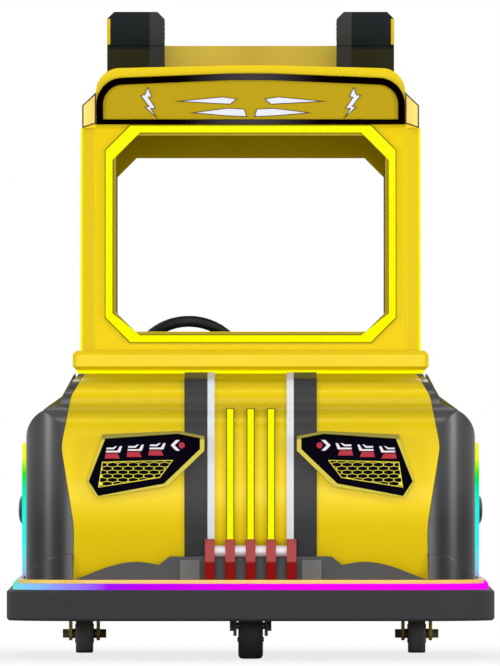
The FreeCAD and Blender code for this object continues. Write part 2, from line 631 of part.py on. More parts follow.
def make_fenders():
    """Solid-looking closed mouldings on either side of the hood and of the tail."""
    reach = "(BrowReach - TrimProud)"
    for front in (True, False):
        for side, sign in (("left", "1"), ("right", "-1")):
            label = f"front fender shell {side}" if front else f"rear_fender_{side}"
            body = new_body(label, kept=not front)
            outline = fender_edge() + list(reversed(hood_edge()))
            outline = [(f"{sign} * {corner[0]}",) + corner[1:] for corner in outline]
            start = reach if front else "-FenderBack"
            length = f"{reach} - FenderBack" if front else "TailBack - FenderBack"
            pad(body, draw(front_sketch(body, start), outline), length, back=True)
            end = f"-{reach}" if front else "TailBack"
            round_corner(body, sign, end, "-" if front else "+")
            if front:
                above = "(HoodTopLevel + FenderHalf)"
                low = "(BrowLevel - BrowRound)"
                waste = [(f"-{reach}", low)] + nose_line("-TrimProud")[2:]
                waste += [("-RollTopReach", above), ("-2 * BulgeReach", above),
                          ("-2 * BulgeReach", low)]
                pocket(body, draw(side_sketch(body), waste), "4 * FenderHalf", both=True)
                fuse([body, make_foot(side, sign, reach)], f"front_fender_{side}")
            else:
                sink_cab_foot(body)


def round_corner(body, sign, end, outward):
    """Round a fender's outer corner, as seen from above."""
    rim = f"{sign} * FenderHalf"
    plan = [(f"{sign} * HoodFootHalf", end), (rim, end, "FenderCorner"),
            (rim, f"{end} {outward} (-2 * FenderCorner)"),
            (f"{sign} * 2 * FenderHalf", f"{end} {outward} (-2 * FenderCorner)"),
            (f"{sign} * 2 * FenderHalf", f"{end} {outward} FenderCorner"),
            (f"{sign} * HoodFootHalf", f"{end} {outward} FenderCorner")]
    pocket(body, draw(plan_sketch(body, DECK_TOP), plan), "HoodTopLevel", back=True)


def make_foot(side, sign, reach):
    """The arched step at the foot of a front fender, which carries on the skirt's line."""
    foot = new_body(f"fender foot {side}", kept=False)
    outline = [("HoodFootHalf", DECK_TOP), ("FenderHalf", DECK_TOP),
               ("FenderHalf", f"{DECK_TOP} + FootEnd"), ("FootMidHalf", "FootMidLevel", "FootRound"),
               ("HoodFootHalf", "FootTop")]
    outline = [(f"{sign} * {corner[0]}",) + corner[1:] for corner in outline]
    front = f"({reach} + FootProud)"
    pad(foot, draw(front_sketch(foot, front), outline), "2 * FenderCorner", back=True)
    round_corner(foot, sign, f"-{front}", "-")
    return foot


def sink_cab_foot(body):
    """A shallow step in which the foot of the cab's rear stands."""
    seat = rectangle("-2 * HoodTopHalf", "2 * HoodTopHalf", "0", "CabBack + CabSeat")
    pocket(body, draw(plan_sketch(body, "HoodTopLevel - CabSeat"), seat), "CabSeat", back=True)


def make_tail():
    """The tail box behind the seat: a moulding that is open to the deck below."""
    body = new_body("tail_body")
    outline = mirrored(hood_edge())
    pad(body, draw(front_sketch(body, "-TailFront"), outline), "TailBack - TailFront", back=True)
    top = value("HoodTopLevel")
    far = value("TailBack")
    soften(body, "TailRound", lambda edge: (
        along(edge, X_AXIS) and abs(edge.BoundBox.ZMin - top) < 1e-6
        and abs(edge.BoundBox.YMin - far) < 1e-6))
    inside = rectangle("-(HoodTopHalf - TailWall)", "HoodTopHalf - TailWall",
                       "TailFront + TailWall", "TailBack - TailWall")
    pocket(body, draw(plan_sketch(body, DECK_TOP), inside),
           f"HoodTopLevel - TailWall - {DECK_TOP}", back=True)
    sink_cab_foot(body)


def make_side_panels():
    """The thick side walls between the fenders, each with its doorway."""
    for side, sign in (("left", "1"), ("right", "-1")):
        body = new_body(f"side_panel_{side}")
        section = [("SideInnerHalf", DECK_TOP), ("SideHalf", DECK_TOP),
                   ("SideHalf", "SideShoulderLow"), ("SideShoulderHalf", "SideShoulderLevel"),
                   ("SideInnerHalf", "HoodTopLevel")]
        section = [(f"{sign} * {x}", z) for x, z in section]
        pad(body, draw(front_sketch(body, "FenderBack"), section), "2 * FenderBack", back=True)
        high = "HoodTopLevel + DoorRound"
        doorway = [("-DoorHalf", "DoorSill", "DoorRound"), ("DoorHalf", "DoorSill", "DoorRound"),
                   ("DoorHalf", high), ("-DoorHalf", high)]
        pocket(body, draw(side_sketch(body), doorway), "4 * SideHalf", both=True)


# ---------------------------------------------------------------------------------------------
# Nose: trims, light bars, guard tube, skirt and headlamps
# ---------------------------------------------------------------------------------------------

def nose_strip(x_low, x_high, proud, low, high):
    """A flat strip that follows the hood's front."""
    body = new_body("strip", kept=False)
    outline = nose_line(proud, low, high) + list(reversed(nose_line("0", low, high)))
    pad(body, draw(side_sketch(body, x_low), outline), f"({x_high}) - ({x_low})")
    return body


def make_nose_trims():
    bars = [nose_strip(f"{place} * BarPitch - BarWidth / 2", f"{place} * BarPitch + BarWidth / 2",
                       "BarProud", "ClampTop", "BarTop") for place in (-1, 0, 1)]
    gather(bars, "nose_light_bars")
    whites = [nose_strip("WhiteInner", "WhiteOuter", "TrimProud", "ClampTop", "HoodTopLevel"),
              nose_strip("-WhiteOuter", "-WhiteInner", "TrimProud", "ClampTop", "HoodTopLevel")]
    gather(whites, "nose_white_trims")
    darks = []
    for sign in ("1", "-1"):
        low, high = ("WhiteOuter", "TrimOuter") if sign == "1" else ("-TrimOuter", "-WhiteOuter")
        strip = nose_strip(low, high, "TrimProud", "SkirtTop", "HoodTopLevel")
        sketch = draw(front_sketch(strip, "BulgeReach - LampDepth"), lamp_outline(sign))
        pocket(strip, sketch, "2 * LampDepth", back=True)
        clamp_side = f"{sign} * (2 * BarPitch + ClampWidth / 2)"
        sketch = draw(front_sketch(strip, "2 * BulgeReach"),
                      rectangle("0", clamp_side, "SkirtTop - 1", "ClampTop"))
        pocket(strip, sketch, "2 * BulgeReach")
        darks.append(strip)
    gather(darks, "nose_dark_trims")


def make_guard():
    """A bright tube across the nose, held by five clamps."""
    tube = ("-TubeEnd", "-TubeReach", "TubeLevel")
    cylinder(tube, X_AXIS, "TubeRadius", "2 * TubeEnd", "guard_tube")
    clamps = []
    for place in range(-2, 3):
        body = new_body("clamp", kept=False)
        low = f"{place} * BarPitch - ClampWidth / 2"
        root = between("ToeReach", "BulgeReach", DECK_TOP, "BulgeLevel", "ClampTop")
        front = "ToeReach + ClampProud"
        outline = [("-ToeReach", DECK_TOP), (f"-{root}", "ClampTop"),
                   (f"-({front} - ClampSlope - ClampBevel)", "ClampTop"),
                   (f"-({front} - ClampSlope)", "ClampTop - ClampBevelHeight"),
                   (f"-({front})", "ClampWaist"), (f"-({front} - ClampUndercut)", DECK_TOP)]
        pad(body, draw(side_sketch(body, low), outline), "ClampWidth")
        bore = circle(side_sketch(body, low), "-TubeReach", "TubeLevel", "TubeRadius")
        pocket(body, bore, "ClampWidth", back=True)
        clamps.append(body)
    gather(clamps, "guard_clamps")


def make_skirt():
    """The dark skirt under the nose, with its two square stops."""
    body = new_body("nose_skirt")
    outline = mirrored([("LipEnd", DECK_TOP), ("LipMidHalf", "LipMidLevel", "LipMidRound"),
                        ("LipInnerHalf", "LipTop", "LipInnerRound"),
                        ("SkirtHalf", "LipTop - LipDrop"), ("SkirtHalf - SkirtSlant", "SkirtTop")])
    pad(body, draw(front_sketch(body, "ToeReach + SkirtProud"), outline), "2 * SkirtProud", back=True)
    pocket(body, draw(side_sketch(body), hood_side()), "4 * FenderHalf", both=True)
    slots = front_sketch(body, "ToeReach")
    for place in range(-2, 3):
        sides = (f"{place} * BarPitch - ClampWidth / 2", f"{place} * BarPitch + ClampWidth / 2")
        draw(slots, rectangle(*sides, f"{DECK_TOP} - 1", "SkirtTop + 1"))
    pocket(body, slots, "2 * SkirtProud", back=True)
    stops = []
    for sign in ("1", "-1"):
        stop = new_body("stop", kept=False)
        sides = rectangle(f"{sign} * BlockInner", f"{sign} * BlockOuter", DECK_TOP, "BlockTop")
        pad(stop, draw(front_sketch(stop, "ToeReach + BlockProud"), sides),
            "BlockProud - SkirtProud", back=True)
        stops.append(stop)
    gather(stops, "nose_stops")


def mesh_outline(sign, rim="0"):
    """The honeycomb's edge seen from the front, moved inward by a rim."""
    corners = (("MeshInner", "MeshTop", 1.9, -1), ("MeshOuter", "MeshTop - MeshFall", -1, -1),
               ("MeshOuterLow", "MeshBottom", -1, 1.1),
               ("MeshInnerLow", "MeshBottom + MeshRise", 0.6, 1))
    return [(f"{sign} * ({half} + {across} * {rim})", f"{level} + {up} * {rim}")
            for half, level, across, up in corners]


def repeat(body, feature, sketch, steps):
    """Repeat a feature in rows: each step is (axis, reversed, length, count)."""
    rows = body.newObject("PartDesign::MultiTransform", "MultiTransform")
    rows.Originals = [feature]
    patterns = []
    for axis, turned, length, count in steps:
        pattern = body.newObject("PartDesign::LinearPattern", "LinearPattern")
        pattern.Direction = (sketch, [axis])
        pattern.Reversed = turned
        pattern.setExpression("Length", formula(length))
        pattern.setExpression("Occurrences", formula(count))
        patterns.append(pattern)
    rows.Transformations = patterns
    body.Tip = rows
    DOC.recompute()


def make_mesh(sign, face):
    """A honeycomb of wide flat cells: a staggered pair of holes, repeated across and up."""
    body = new_body("mesh", kept=False)
    pad(body, draw(front_sketch(body, face), mesh_outline(sign)), "MeshThick")
    sketch = front_sketch(body, f"{face} + 2 * MeshThick")
    half = "(CellWidth - CellWall) / 2"
    side = "(CellRow - CellNose) / 2"
    peak = "(CellRow + CellNose - CellWall) / 2"
    for across, up in (("0", "0"), ("CellWidth / 2", "CellRow")):
        x = f"{sign} * (MeshOuter - {across})"
        z = f"(MeshBottom + {up})"
        draw(sketch, [(f"{x} - {half}", f"{z} - {side}"), (x, f"{z} - {peak}"),
                      (f"{x} + {half}", f"{z} - {side}"), (f"{x} + {half}", f"{z} + {side}"),
                      (x, f"{z} + {peak}"), (f"{x} - {half}", f"{z} + {side}")])
    hole = pocket(body, sketch, "4 * MeshThick")
    repeat(body, hole, sketch, (
        ("H_Axis", sign == "1", "(CellColumnCount - 1) * CellWidth", "CellColumnCount"),
        ("V_Axis", False, "(CellPairCount - 1) * 2 * CellRow", "CellPairCount")))
    edge = draw(front_sketch(body, face), mesh_outline(sign))
    draw(edge, mesh_outline(sign, "MeshRim"))
    pad(body, edge, "MeshThick")
    return body


def sign_row(sign, face, outlines):
    """Small signs on a lamp's face, repeated inward along its rising upper edge."""
    body = new_body("signs", kept=False)
    sketch = front_sketch(body, face)
    start, end = FreeCAD.Vector(0, 0, 0), FreeCAD.Vector(value(f"-({sign}) * SignPitch"), 1, 0)
    line = sketch.addGeometry(Part.LineSegment(start, end), True)
    fix_point(sketch, line, 1, ("0", "0"))
    fix_point(sketch, line, 2, (f"-({sign}) * SignPitch", "SignRise"))
    for outline in outlines:
        draw(sketch, [(f"{sign} * ({x})", z) for x, z in outline])
    feature = pad(body, sketch, "SignThick")
    repeat(body, feature, sketch, (
        ("Axis0", False, "(SignCount - 1) * sqrt(SignPitch ^ 2 + SignRise ^ 2)", "SignCount"),))
    return body


def make_headlamps():
    """On each side a thin frame and a dark lamp body, with a honeycomb, three red blocks and
    three white hooked bars on its face, and a white chevron by a red dot at its point."""
    frames, lamps, meshes, blocks, bars = [], [], [], [], []
    face = "(BulgeReach + LampProud - LampRecess)"
    block = [("BlockFirst + BlockLean / 2", "BlockLow"), ("BlockFirst", "BlockHigh"),
             ("BlockFirst - BlockLong + BlockLean", "BlockHigh"),
             ("BlockFirst - BlockLong", "BlockLow")]
    end = "BlockFirst - BlockLong - HookStart"
    first = [("BlockFirst", "BarLow"), ("BlockFirst - 1", "BarHigh"),
             (f"{end} + 2 * HookStart", "BarHigh"), (f"{end} + HookStart", "HookHigh"),
             (f"{end} + HookStart - HookWide", "HookHigh"), (f"{end} + HookStart", "BarLow")]
    low = "BarHigh + SecondGap"
    second = [("BlockFirst - 1", low), ("BlockFirst - 2", "HookHigh - SecondGap"),
              (f"{end} + 2 * HookStart + SecondShort", "HookHigh - SecondGap"),
              (f"{end} + 2 * HookStart + HookWide", "HookHigh"),
              (f"{end} + 2 * HookStart", "HookHigh"),
              (f"{end} + 2 * HookStart + SecondShort - 1", low)]
    for sign in ("1", "-1"):
        frame = new_body("lamp frame", kept=False)
        sketch = draw(front_sketch(frame, "BulgeReach + LampProud"), lamp_outline(sign))
        draw(sketch, lamp_outline(sign, "LampBand"))
        pad(frame, sketch, "LampDepth", back=True)
        frames.append(frame)
        lamp = new_body("lamp", kept=False)
        sketch = draw(front_sketch(lamp, face), lamp_outline(sign, "LampBand"))
        pad(lamp, sketch, "LampDepth - LampRecess", back=True)
        lamps.append(lamp)
        meshes.append(make_mesh(sign, face))
        blocks.append(sign_row(sign, face, [block]))
        dot = new_body("dot", kept=False)
        pad(dot, circle(front_sketch(dot, face), f"{sign} * DotHalf", "DotLevel", "DotRadius"),
            "SignThick")
        blocks.append(dot)
        bars.append(sign_row(sign, face, [first, second]))
        chevron = new_body("chevron", kept=False)
        tip, arm = "ChevronHalf", "ChevronHalf - ChevronReach"
        outline = [(tip, "DotLevel"), (arm, "DotLevel + ChevronRise"),
                   (f"{arm} - ChevronBand", "DotLevel + ChevronRise"),
                   (f"{tip} - ChevronBand", "DotLevel"),
                   (f"{arm} - ChevronBand", "DotLevel - ChevronRise"),
                   (arm, "DotLevel - ChevronRise")]
        outline = [(f"{sign} * ({x})", z) for x, z in outline]
        pad(chevron, draw(front_sketch(chevron, face), outline), "SignThick")
        bars.append(chevron)
    gather(frames, "lamp_frames")
    gather(lamps, "lamp_bodies")
    gather(meshes, "lamp_meshes")
    gather(blocks, "lamp_blocks")
    gather(bars, "lamp_bars")


# ---------------------------------------------------------------------------------------------
# Cowl and cab
# ---------------------------------------------------------------------------------------------

def cab_face(level, proud="0"):
    """How far behind Y = 0 the leaning cab front lies at a level."""
    return f"(({level} - LedgeTop) * tan(CabLean) - CabReach - ({proud}))"


def leaning_plate(label, half, low, high, proud, thick, kept=True):
    """A plate in the cab's leaning front plane."""
    body = new_body(label, kept)
    outline = [(cab_face(low, proud), low), (f"{cab_face(low, proud)} + {thick}", low),
               (f"{cab_face(high, proud)} + {thick}", high), (cab_face(high, proud), high)]
    pad(body, draw(side_sketch(body), outline), f"2 * ({half})", both=True)
    return body


def octagon(half, low, high, chamfer):
    return mirrored([(f"{half} - {chamfer}", low), (half, f"{low} + {chamfer}"),
                     (half, f"{high} - {chamfer}"), (f"{half} - {chamfer}", high)])


def make_cowl():
    ledge = box(("-LedgeHalf", "-LedgeReach", "HoodTopLevel + LedgeLightHeight"),
                ("LedgeHalf", "-HoodBack", "LedgeTop"))
    shape = DOC.addObject("Part::Chamfer", "Chamfer")
    shape.Base = ledge
    DOC.recompute()
    reach = value("LedgeReach")
    size = value("LedgeChamfer")
    names = edges_where(ledge.Shape, lambda edge: (
        not along(edge, X_AXIS) and edge.BoundBox.YMin < -reach + 1e-6
        or along(edge, X_AXIS) and abs(edge.BoundBox.YMax + reach) < 1e-6))
    shape.Edges = [(int(name[4:]), size, size) for name in names]
    seat = box(("-LedgeHalf", "-(CabReach + CabSeat)", CAB_FOOT),
               ("LedgeHalf", "-HoodBack", "LedgeTop"))
    cut(shape, seat, "cowl_ledge")
    box(("-LedgeLightHalf", "-(LedgeReach - LedgeLightInset)", "HoodTopLevel"),
        ("LedgeLightHalf", "-HoodBack", "HoodTopLevel + LedgeLightHeight"), "ledge_light")


def make_cab_front():
    frame = leaning_plate("cab_front_frame", "CabFrontHalf", CAB_FOOT, "CabTop", "0",
                          "FrontFrameThick")
    window = octagon("WindowHalf", "WindowBottom", "WindowTop", "WindowChamfer")
    pocket(frame, draw(front_sketch(frame, "2 * CabReach"), window), "2 * CabReach")
    ring = leaning_plate("window_light_ring", "RingHalf", "RingBottom", "RingTop", "RingProud",
                         "RingProud")
    sketch = draw(front_sketch(ring, "2 * CabReach"),
                  rectangle("-CabHalf", "CabHalf", "LedgeTop", "CabTop"))
    draw(sketch, octagon("RingHalf", "RingBottom", "RingTop", "RingChamfer"))
    draw(sketch, octagon("RingHalf - RingWidth", "RingBottom + RingWidth", "RingTop - RingWidth",
                         "RingChamfer - RingCornerTrim"))
    pocket(ring, sketch, "2 * CabReach")


def make_cab_sides():
    """Each side of the cab: a leaning front pillar, a beam and a rear pillar, with a top rail."""
    lights = []
    for side, sign in (("left", "1"), ("right", "-1")):
        body = new_body(f"cab_side_{side}")
        outline = [(cab_face(CAB_FOOT), CAB_FOOT),
                   (f"{cab_face(CAB_FOOT)} + PillarFront", CAB_FOOT),
                   (f"{cab_face('SideTop')} + PillarFront", "SideTop - SideBeam", "SideOpenRound"),
                   ("CabBack - PillarBack", "SideTop - SideBeam", "SideOpenRound"),
                   ("CabBack - PillarBack", "HoodTopLevel - CabSeat"),
                   ("CabBack", "HoodTopLevel - CabSeat"),
                   ("CabBack", "SideTop"), (cab_face("SideTop"), "SideTop")]
        width = "(CabHalf - CabFrontHalf)"
        inner = "CabFrontHalf" if sign == "1" else "-CabHalf"
        pad(body, draw(side_sketch(body, inner), outline), width)
        rim, face = value(f"{sign} * CabHalf"), value(cab_face(CAB_FOOT))
        soften(body, "CabFacet", lambda edge: (
            isinstance(edge.Curve, Part.Line) and abs(edge.BoundBox.XMin - rim) < 1e-6
            and abs(edge.BoundBox.XMax - rim) < 1e-6 and abs(edge.BoundBox.YMin - face) < 1e-6
            and edge.BoundBox.ZLength > value("SideBeam")), "Chamfer")
        rail = [("CabFrontHalf", "SideTop"), ("RailHalf", "SideTop"), ("RailHalf", "RailOuterTop"),
                ("CabFrontHalf", "RailTop")]
        rail = [(f"{sign} * {x}", z) for x, z in rail]
        pad(body, draw(front_sketch(body, f"-{cab_face('SideTop')}"), rail),
            f"CabBack - {cab_face('SideTop')}", back=True)
        light = new_body("edge light", kept=False)
        low, high = "LedgeTop", "SideTop"
        strip = [(f"{cab_face(low)} + CabFacet", low), (f"{cab_face(high)} + CabFacet", high),
                 (f"{cab_face(high)} + CabFacet + EdgeLightWidth", high),
                 (f"{cab_face(low)} + CabFacet + EdgeLightWidth", low)]
        start = "CabHalf" if sign == "1" else "-(CabHalf + EdgeLight)"
        pad(light, draw(side_sketch(light, start), strip), "EdgeLight")
        lights.append(light)
    gather(lights, "cab_edge_lights")


def make_cab_back():
    body = new_body("cab_rear_frame")
    sketch = draw(front_sketch(body, "-(CabBack - RearFrameThick)"),
                  rectangle("-CabFrontHalf", "CabFrontHalf", "HoodTopLevel - CabSeat", "CabTop"))
    chamfer = "RearOpenChamfer"
    draw(sketch, mirrored([("RearOpenHalf", "RearOpenBottom"),
                           ("RearOpenHalf", f"RearOpenTop - {chamfer}"),
                           (f"RearOpenHalf - {chamfer}", "RearOpenTop")]))
    pad(body, sketch, "RearFrameThick", back=True)


# ---------------------------------------------------------------------------------------------
# Roof
# ---------------------------------------------------------------------------------------------

def roof_section(low, top):
    return mirrored([("RoofHalf", low), ("RoofHalf", "RoofEdgeLevel", "RoofRound"),
                     ("BarPitch", top)])


def make_roof():
    body = new_body("roof_shell")
    front = cab_face("CabTop")
    pad(body, draw(front_sketch(body, f"-{front}"), roof_section("CabTop", "RoofCrown")),
        f"RoofBack - {front}", back=True)
    inside = rectangle("-(RoofHalf - RoofWall)", "RoofHalf - RoofWall", "CabTop", "RoofCeiling")
    sketch = draw(front_sketch(body, f"-({front} + RoofWall)"), inside)
    pocket(body, sketch, f"RoofBack - {front} - 2 * RoofWall")
    make_header()
    make_pods()


def make_header():
    """The black arched frame over the window and the panel inside it."""
    reach = f"-({cab_face('CabTop')})"
    outer = mirrored([("HeaderHalf", "CabTop"), ("HeaderHalf", "HeaderCornerLevel", "HeaderRound"),
                      ("BarPitch", "HeaderTop")])
    inner = mirrored([("HeaderHalf - HeaderBand", "CabTop + HeaderSill"),
                      ("HeaderHalf - HeaderBand", "HeaderCornerLevel - HeaderBand",
                       "HeaderRound - HeaderBand"),
                      ("BarPitch", "HeaderTop - HeaderBand")])
    frame = new_body("header_frame")
    sketch = draw(front_sketch(frame, f"{reach} + HeaderProud"), outer)
    draw(sketch, inner)
    pad(frame, sketch, "HeaderProud", back=True)
    panel = new_body("header_panel")
    sketch = draw(front_sketch(panel, f"{reach} + HeaderPanelProud"), inner)
    pad(panel, sketch, "HeaderPanelProud", back=True)


def make_pods():
    """Two roof boxes and the band between them, seated on the crowned roof."""
    skin = new_body("roof skin", kept=False)
    pad(skin, draw(front_sketch(skin, "BulgeReach"), roof_section("CabTop", "RoofCrown")),
        "2 * BulgeReach", back=True)
    pods = []
    for sign in ("1", "-1"):
        pod = new_body("pod", kept=False)
        outline = [("PodInner", "PodFoot"), ("PodOuter", "PodFoot"),
                   ("PodOuter", "PodTop - PodChamfer"), ("PodOuter - PodChamfer", "PodTop"),
                   ("PodInner + PodChamfer", "PodTop"), ("PodInner", "PodTop - PodChamfer")]
        outline = [(f"{sign} * ({x})", z) for x, z in outline]
        pad(pod, draw(front_sketch(pod, "-PodFront"), outline), "PodBack - PodFront", back=True)
        seam = rectangle("-2 * PodOuter", "2 * PodOuter", "PodSeam", "PodSeam + PodSeamHeight")
        pocket(pod, draw(front_sketch(pod, "-PodFront"), seam), "PodSeamDepth")
        pods.append(cut(pod, skin))
    gather(pods, "roof_pods")
    band = box(("-PodInner", "BandFront", "PodFoot"), ("PodInner", "BandBack", "BandTop"))
    cut(band, skin, "roof_band")


# ---------------------------------------------------------------------------------------------
# Inside
# ---------------------------------------------------------------------------------------------

def make_seat():
    """The seat box over the battery, its cushion and its backrest."""
    body = new_body("seat_base")
    sketch = draw(front_sketch(body, "-SeatFront"),
                  rectangle("-SeatHalf", "SeatHalf", DECK_TOP, "SeatLevel"))
    pad(body, sketch, "SeatBack - SeatFront", back=True)
    inside = rectangle("-(SeatHalf - SeatWall)", "SeatHalf - SeatWall", DECK_TOP,
                       "SeatLevel - SeatWall")
    pocket(body, draw(front_sketch(body, "-(SeatFront + SeatWall)"), inside),
           "SeatBack - SeatFront - 2 * SeatWall")
    for label, start, end in (
            ("seat_cushion", ("-SeatHalf", "SeatFront - CushionLip", "SeatLevel"),
             ("SeatHalf", "BackFront - CushionGap", "SeatLevel + CushionThick")),
            ("seat_backrest", ("-SeatHalf", "BackFront", "SeatLevel"),
             ("SeatHalf", "SeatBack", "BackTop"))):
        block = box(start, end)
        shape = DOC.addObject("Part::Fillet", "Fillet")
        shape.Base = block
        DOC.recompute()
        radius = value("CushionRound")
        floor = value("SeatLevel")
        names = edges_where(block.Shape, lambda edge: edge.BoundBox.ZMax > floor + 1)
        shape.Edges = [(int(name[4:]), radius, radius) for name in names]
        keep(shape, label)
    box(("-BatteryWidth / 2", "BatteryBack", DECK_TOP),
        ("BatteryWidth / 2", "BatteryBack + BatteryLength", f"{DECK_TOP} + BatteryHeight"),
        "battery_block")


def make_steering():
    """The dashboard, the column in its socket and the three-spoke wheel."""
    dash = box(("-DashHalf", "-(DashReach + DashThick)", "DashBottom"),
               ("DashHalf", "-DashReach", "HoodTopLevel - HoodWall"))
    socket = cylinder(("0", "0", "0"), Z_AXIS, "ColumnRadius", "ColumnLength")
    place_on_axis(socket, "-(ColumnLength + SteerHubHeight / 2 + ColumnGap)")
    cut(dash, socket, "dashboard")
    column = cylinder(("0", "0", "0"), Z_AXIS, "ColumnRadius", "ColumnLength", "steering_column")
    place_on_axis(column, "-(ColumnLength + SteerHubHeight / 2 + ColumnGap)")
    rim = new_body("rim", kept=False)
    section = [("SteerRadius - SteerTube", "-SteerTube + SteerFacet"),
               ("SteerRadius - SteerTube + SteerFacet", "-SteerTube"),
               ("SteerRadius + SteerTube - SteerFacet", "-SteerTube"),
               ("SteerRadius + SteerTube", "-SteerTube + SteerFacet"),
               ("SteerRadius + SteerTube", "SteerTube - SteerFacet"),
               ("SteerRadius + SteerTube - SteerFacet", "SteerTube"),
               ("SteerRadius - SteerTube + SteerFacet", "SteerTube"),
               ("SteerRadius - SteerTube", "SteerTube - SteerFacet")]
    sketch = draw(front_sketch(rim), section)
    turn = rim.newObject("PartDesign::Revolution", "Revolution")
    turn.Profile = sketch
    turn.ReferenceAxis = (sketch, ["V_Axis"])
    hub = cylinder(("0", "0", "-SteerHubHeight / 2"), Z_AXIS, "SteerHubRadius", "SteerHubHeight")
    spokes = [box(("-SteerRadius", "-SpokeWidth / 2", "-SpokeThick / 2"),
                  ("SteerRadius", "SpokeWidth / 2", "SpokeThick / 2")),
              box(("-SpokeWidth / 2", "0", "-SpokeThick / 2"),
                  ("SpokeWidth / 2", "SteerRadius", "SpokeThick / 2"))]
    wheel = fuse([rim, hub] + spokes, "steering_wheel")
    place_on_axis(wheel, "0")


def place_on_axis(thing, distance):
    """Put a piece that was made along Z on the leaning steering axis."""
    angle = "(90 - SteerTilt)"
    thing.Placement = FreeCAD.Placement(FreeCAD.Vector(), FreeCAD.Rotation(X_AXIS, -1))
    thing.setExpression("Placement.Rotation.Angle", formula(angle))
    thing.Placement.Rotation.Axis = FreeCAD.Vector(-1, 0, 0)
    thing.setExpression("Placement.Base.x", formula("-SteerHalf"))
    thing.setExpression("Placement.Base.y", formula(f"-SteerReach + ({distance}) * sin({angle})"))
    thing.setExpression("Placement.Base.z", formula(f"SteerLevel + ({distance}) * cos({angle})"))


def make_side_wheels():
    """Dummy wheels on the fenders: a dished face with spokes and a cap, in a light ring."""
    discs, rings = [], []
    for sign in ("1", "-1"):
        for along_y in ("-DiscReach", "DiscBack"):
            body = new_body("disc", kept=False)
            start = f"{sign} * FenderHalf"
            outward = sign == "-1"
            pad(body, circle(side_sketch(body, start), along_y, "DiscLevel", "DiscRadius"),
                "DiscThick", back=outward)
            dish = circle(side_sketch(body, f"{start} + {sign} * DiscThick"), along_y,
                          "DiscLevel", "DishRadius")
            pocket(body, dish, "DishDepth", back=outward)
            floor = f"{start} + {sign} * (DiscThick - DishDepth)"
            centre = circle(side_sketch(body, floor), along_y, "DiscLevel", "DiscHub")
            pad(body, centre, "DishDepth", back=outward)
            arm = side_sketch(body, floor)
            arm.setExpression("AttachmentOffset.Base.x", formula(along_y))
            arm.setExpression("AttachmentOffset.Base.y", formula("DiscLevel"))
            draw(arm, [("-DiscSpokeWidth / 2", "DiscHub / 2"), ("DiscSpokeWidth / 2", "DiscHub / 2"),
                       ("DiscSpokeWidth / 3", "DishRadius + SpokeSink"),
                       ("-DiscSpokeWidth / 3", "DishRadius + SpokeSink")])
            spoke = pad(body, arm, "DishDepth - SpokeSink", back=outward)
            spin = body.newObject("PartDesign::PolarPattern", "PolarPattern")
            spin.Originals = [spoke]
            spin.Axis = (arm, ["N_Axis"])
            spin.Angle = 360
            spin.setExpression("Occurrences", formula("DiscSpokeCount"))
            body.Tip = spin
            DOC.recompute()
            cap = circle(side_sketch(body, start), along_y, "DiscLevel", "CapRadius")
            pad(body, cap, "CapThick", back=outward)
            discs.append(body)
            start = "FenderHalf" if sign == "1" else "-(FenderHalf + GlowThick)"
            ring = new_body("ring", kept=False)
            sketch = circle(side_sketch(ring, start), along_y, "DiscLevel", "GlowRadius")
            circle(sketch, along_y, "DiscLevel", "GlowInner")
            pad(ring, sketch, "GlowThick")
            rings.append(ring)
    gather(discs, "side_discs")
    gather(rings, "side_ring_lights")


for build in (make_bumper, make_strip, make_plate, make_frame, make_turnplate, make_rear_wheels,
              make_brackets, make_rear_axles, make_fork, make_front_wheel, make_hood,
              make_fenders, make_tail, make_side_panels, make_nose_trims, make_guard, make_skirt,
              make_headlamps, make_cowl, make_cab_front, make_cab_sides, make_cab_back, make_roof,
              make_seat, make_steering, make_side_wheels):
    build()
DOC.recompute()

for item in DOC.Objects:
    if "Invalid" in item.State or "Error" in item.State:
        raise ValueError(f"{item.Label} failed: {item.State}")
for node in NODES:
    if node.Shape.isNull() or not node.Shape.isValid():
        raise ValueError(f"{node.Label} has no valid shape")
os.makedirs("parts", exist_ok=True)
for node in NODES:
    node.Shape.exportStep(f"parts/{node.Label}.step")
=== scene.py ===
import math

import bpy
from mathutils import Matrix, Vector


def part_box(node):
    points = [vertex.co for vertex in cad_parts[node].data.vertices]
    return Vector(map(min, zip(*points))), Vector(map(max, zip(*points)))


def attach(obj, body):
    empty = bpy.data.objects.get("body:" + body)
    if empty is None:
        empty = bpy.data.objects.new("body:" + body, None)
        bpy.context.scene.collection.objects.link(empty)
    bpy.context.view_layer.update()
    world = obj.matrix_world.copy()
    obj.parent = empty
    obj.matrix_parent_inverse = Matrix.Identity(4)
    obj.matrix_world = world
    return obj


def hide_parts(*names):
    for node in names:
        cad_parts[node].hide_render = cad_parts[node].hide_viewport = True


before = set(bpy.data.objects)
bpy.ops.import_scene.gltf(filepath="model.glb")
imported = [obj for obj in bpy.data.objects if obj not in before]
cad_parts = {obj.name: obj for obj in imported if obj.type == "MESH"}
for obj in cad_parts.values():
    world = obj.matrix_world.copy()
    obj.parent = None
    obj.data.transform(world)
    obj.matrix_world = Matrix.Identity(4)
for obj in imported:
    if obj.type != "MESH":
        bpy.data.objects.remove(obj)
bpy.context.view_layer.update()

# The place: the car stands on a pale studio floor. A broad low lamp is straight ahead of
# it with a narrow one above, one stands on either side and one hangs behind. The camera
# looks at the nose from far off, level with the middle of the car, so nothing tapers.
bpy.ops.object.select_all(action="DESELECT")
view_distance, nose_plane = 53.0, -0.5
frame_height, frame_middle = 1.5043, (-0.0014, 0.7357)
lens = bpy.data.cameras.new("long_lens")
lens.lens = lens.sensor_width * view_distance / frame_height
lens.clip_end = 200
camera = bpy.data.objects.new("front_camera", lens)
camera.location = (frame_middle[0], nose_plane - view_distance, frame_middle[1])
camera.rotation_euler = (math.radians(90), 0, 0)
bpy.context.scene.collection.objects.link(camera)
bpy.context.scene.camera = camera
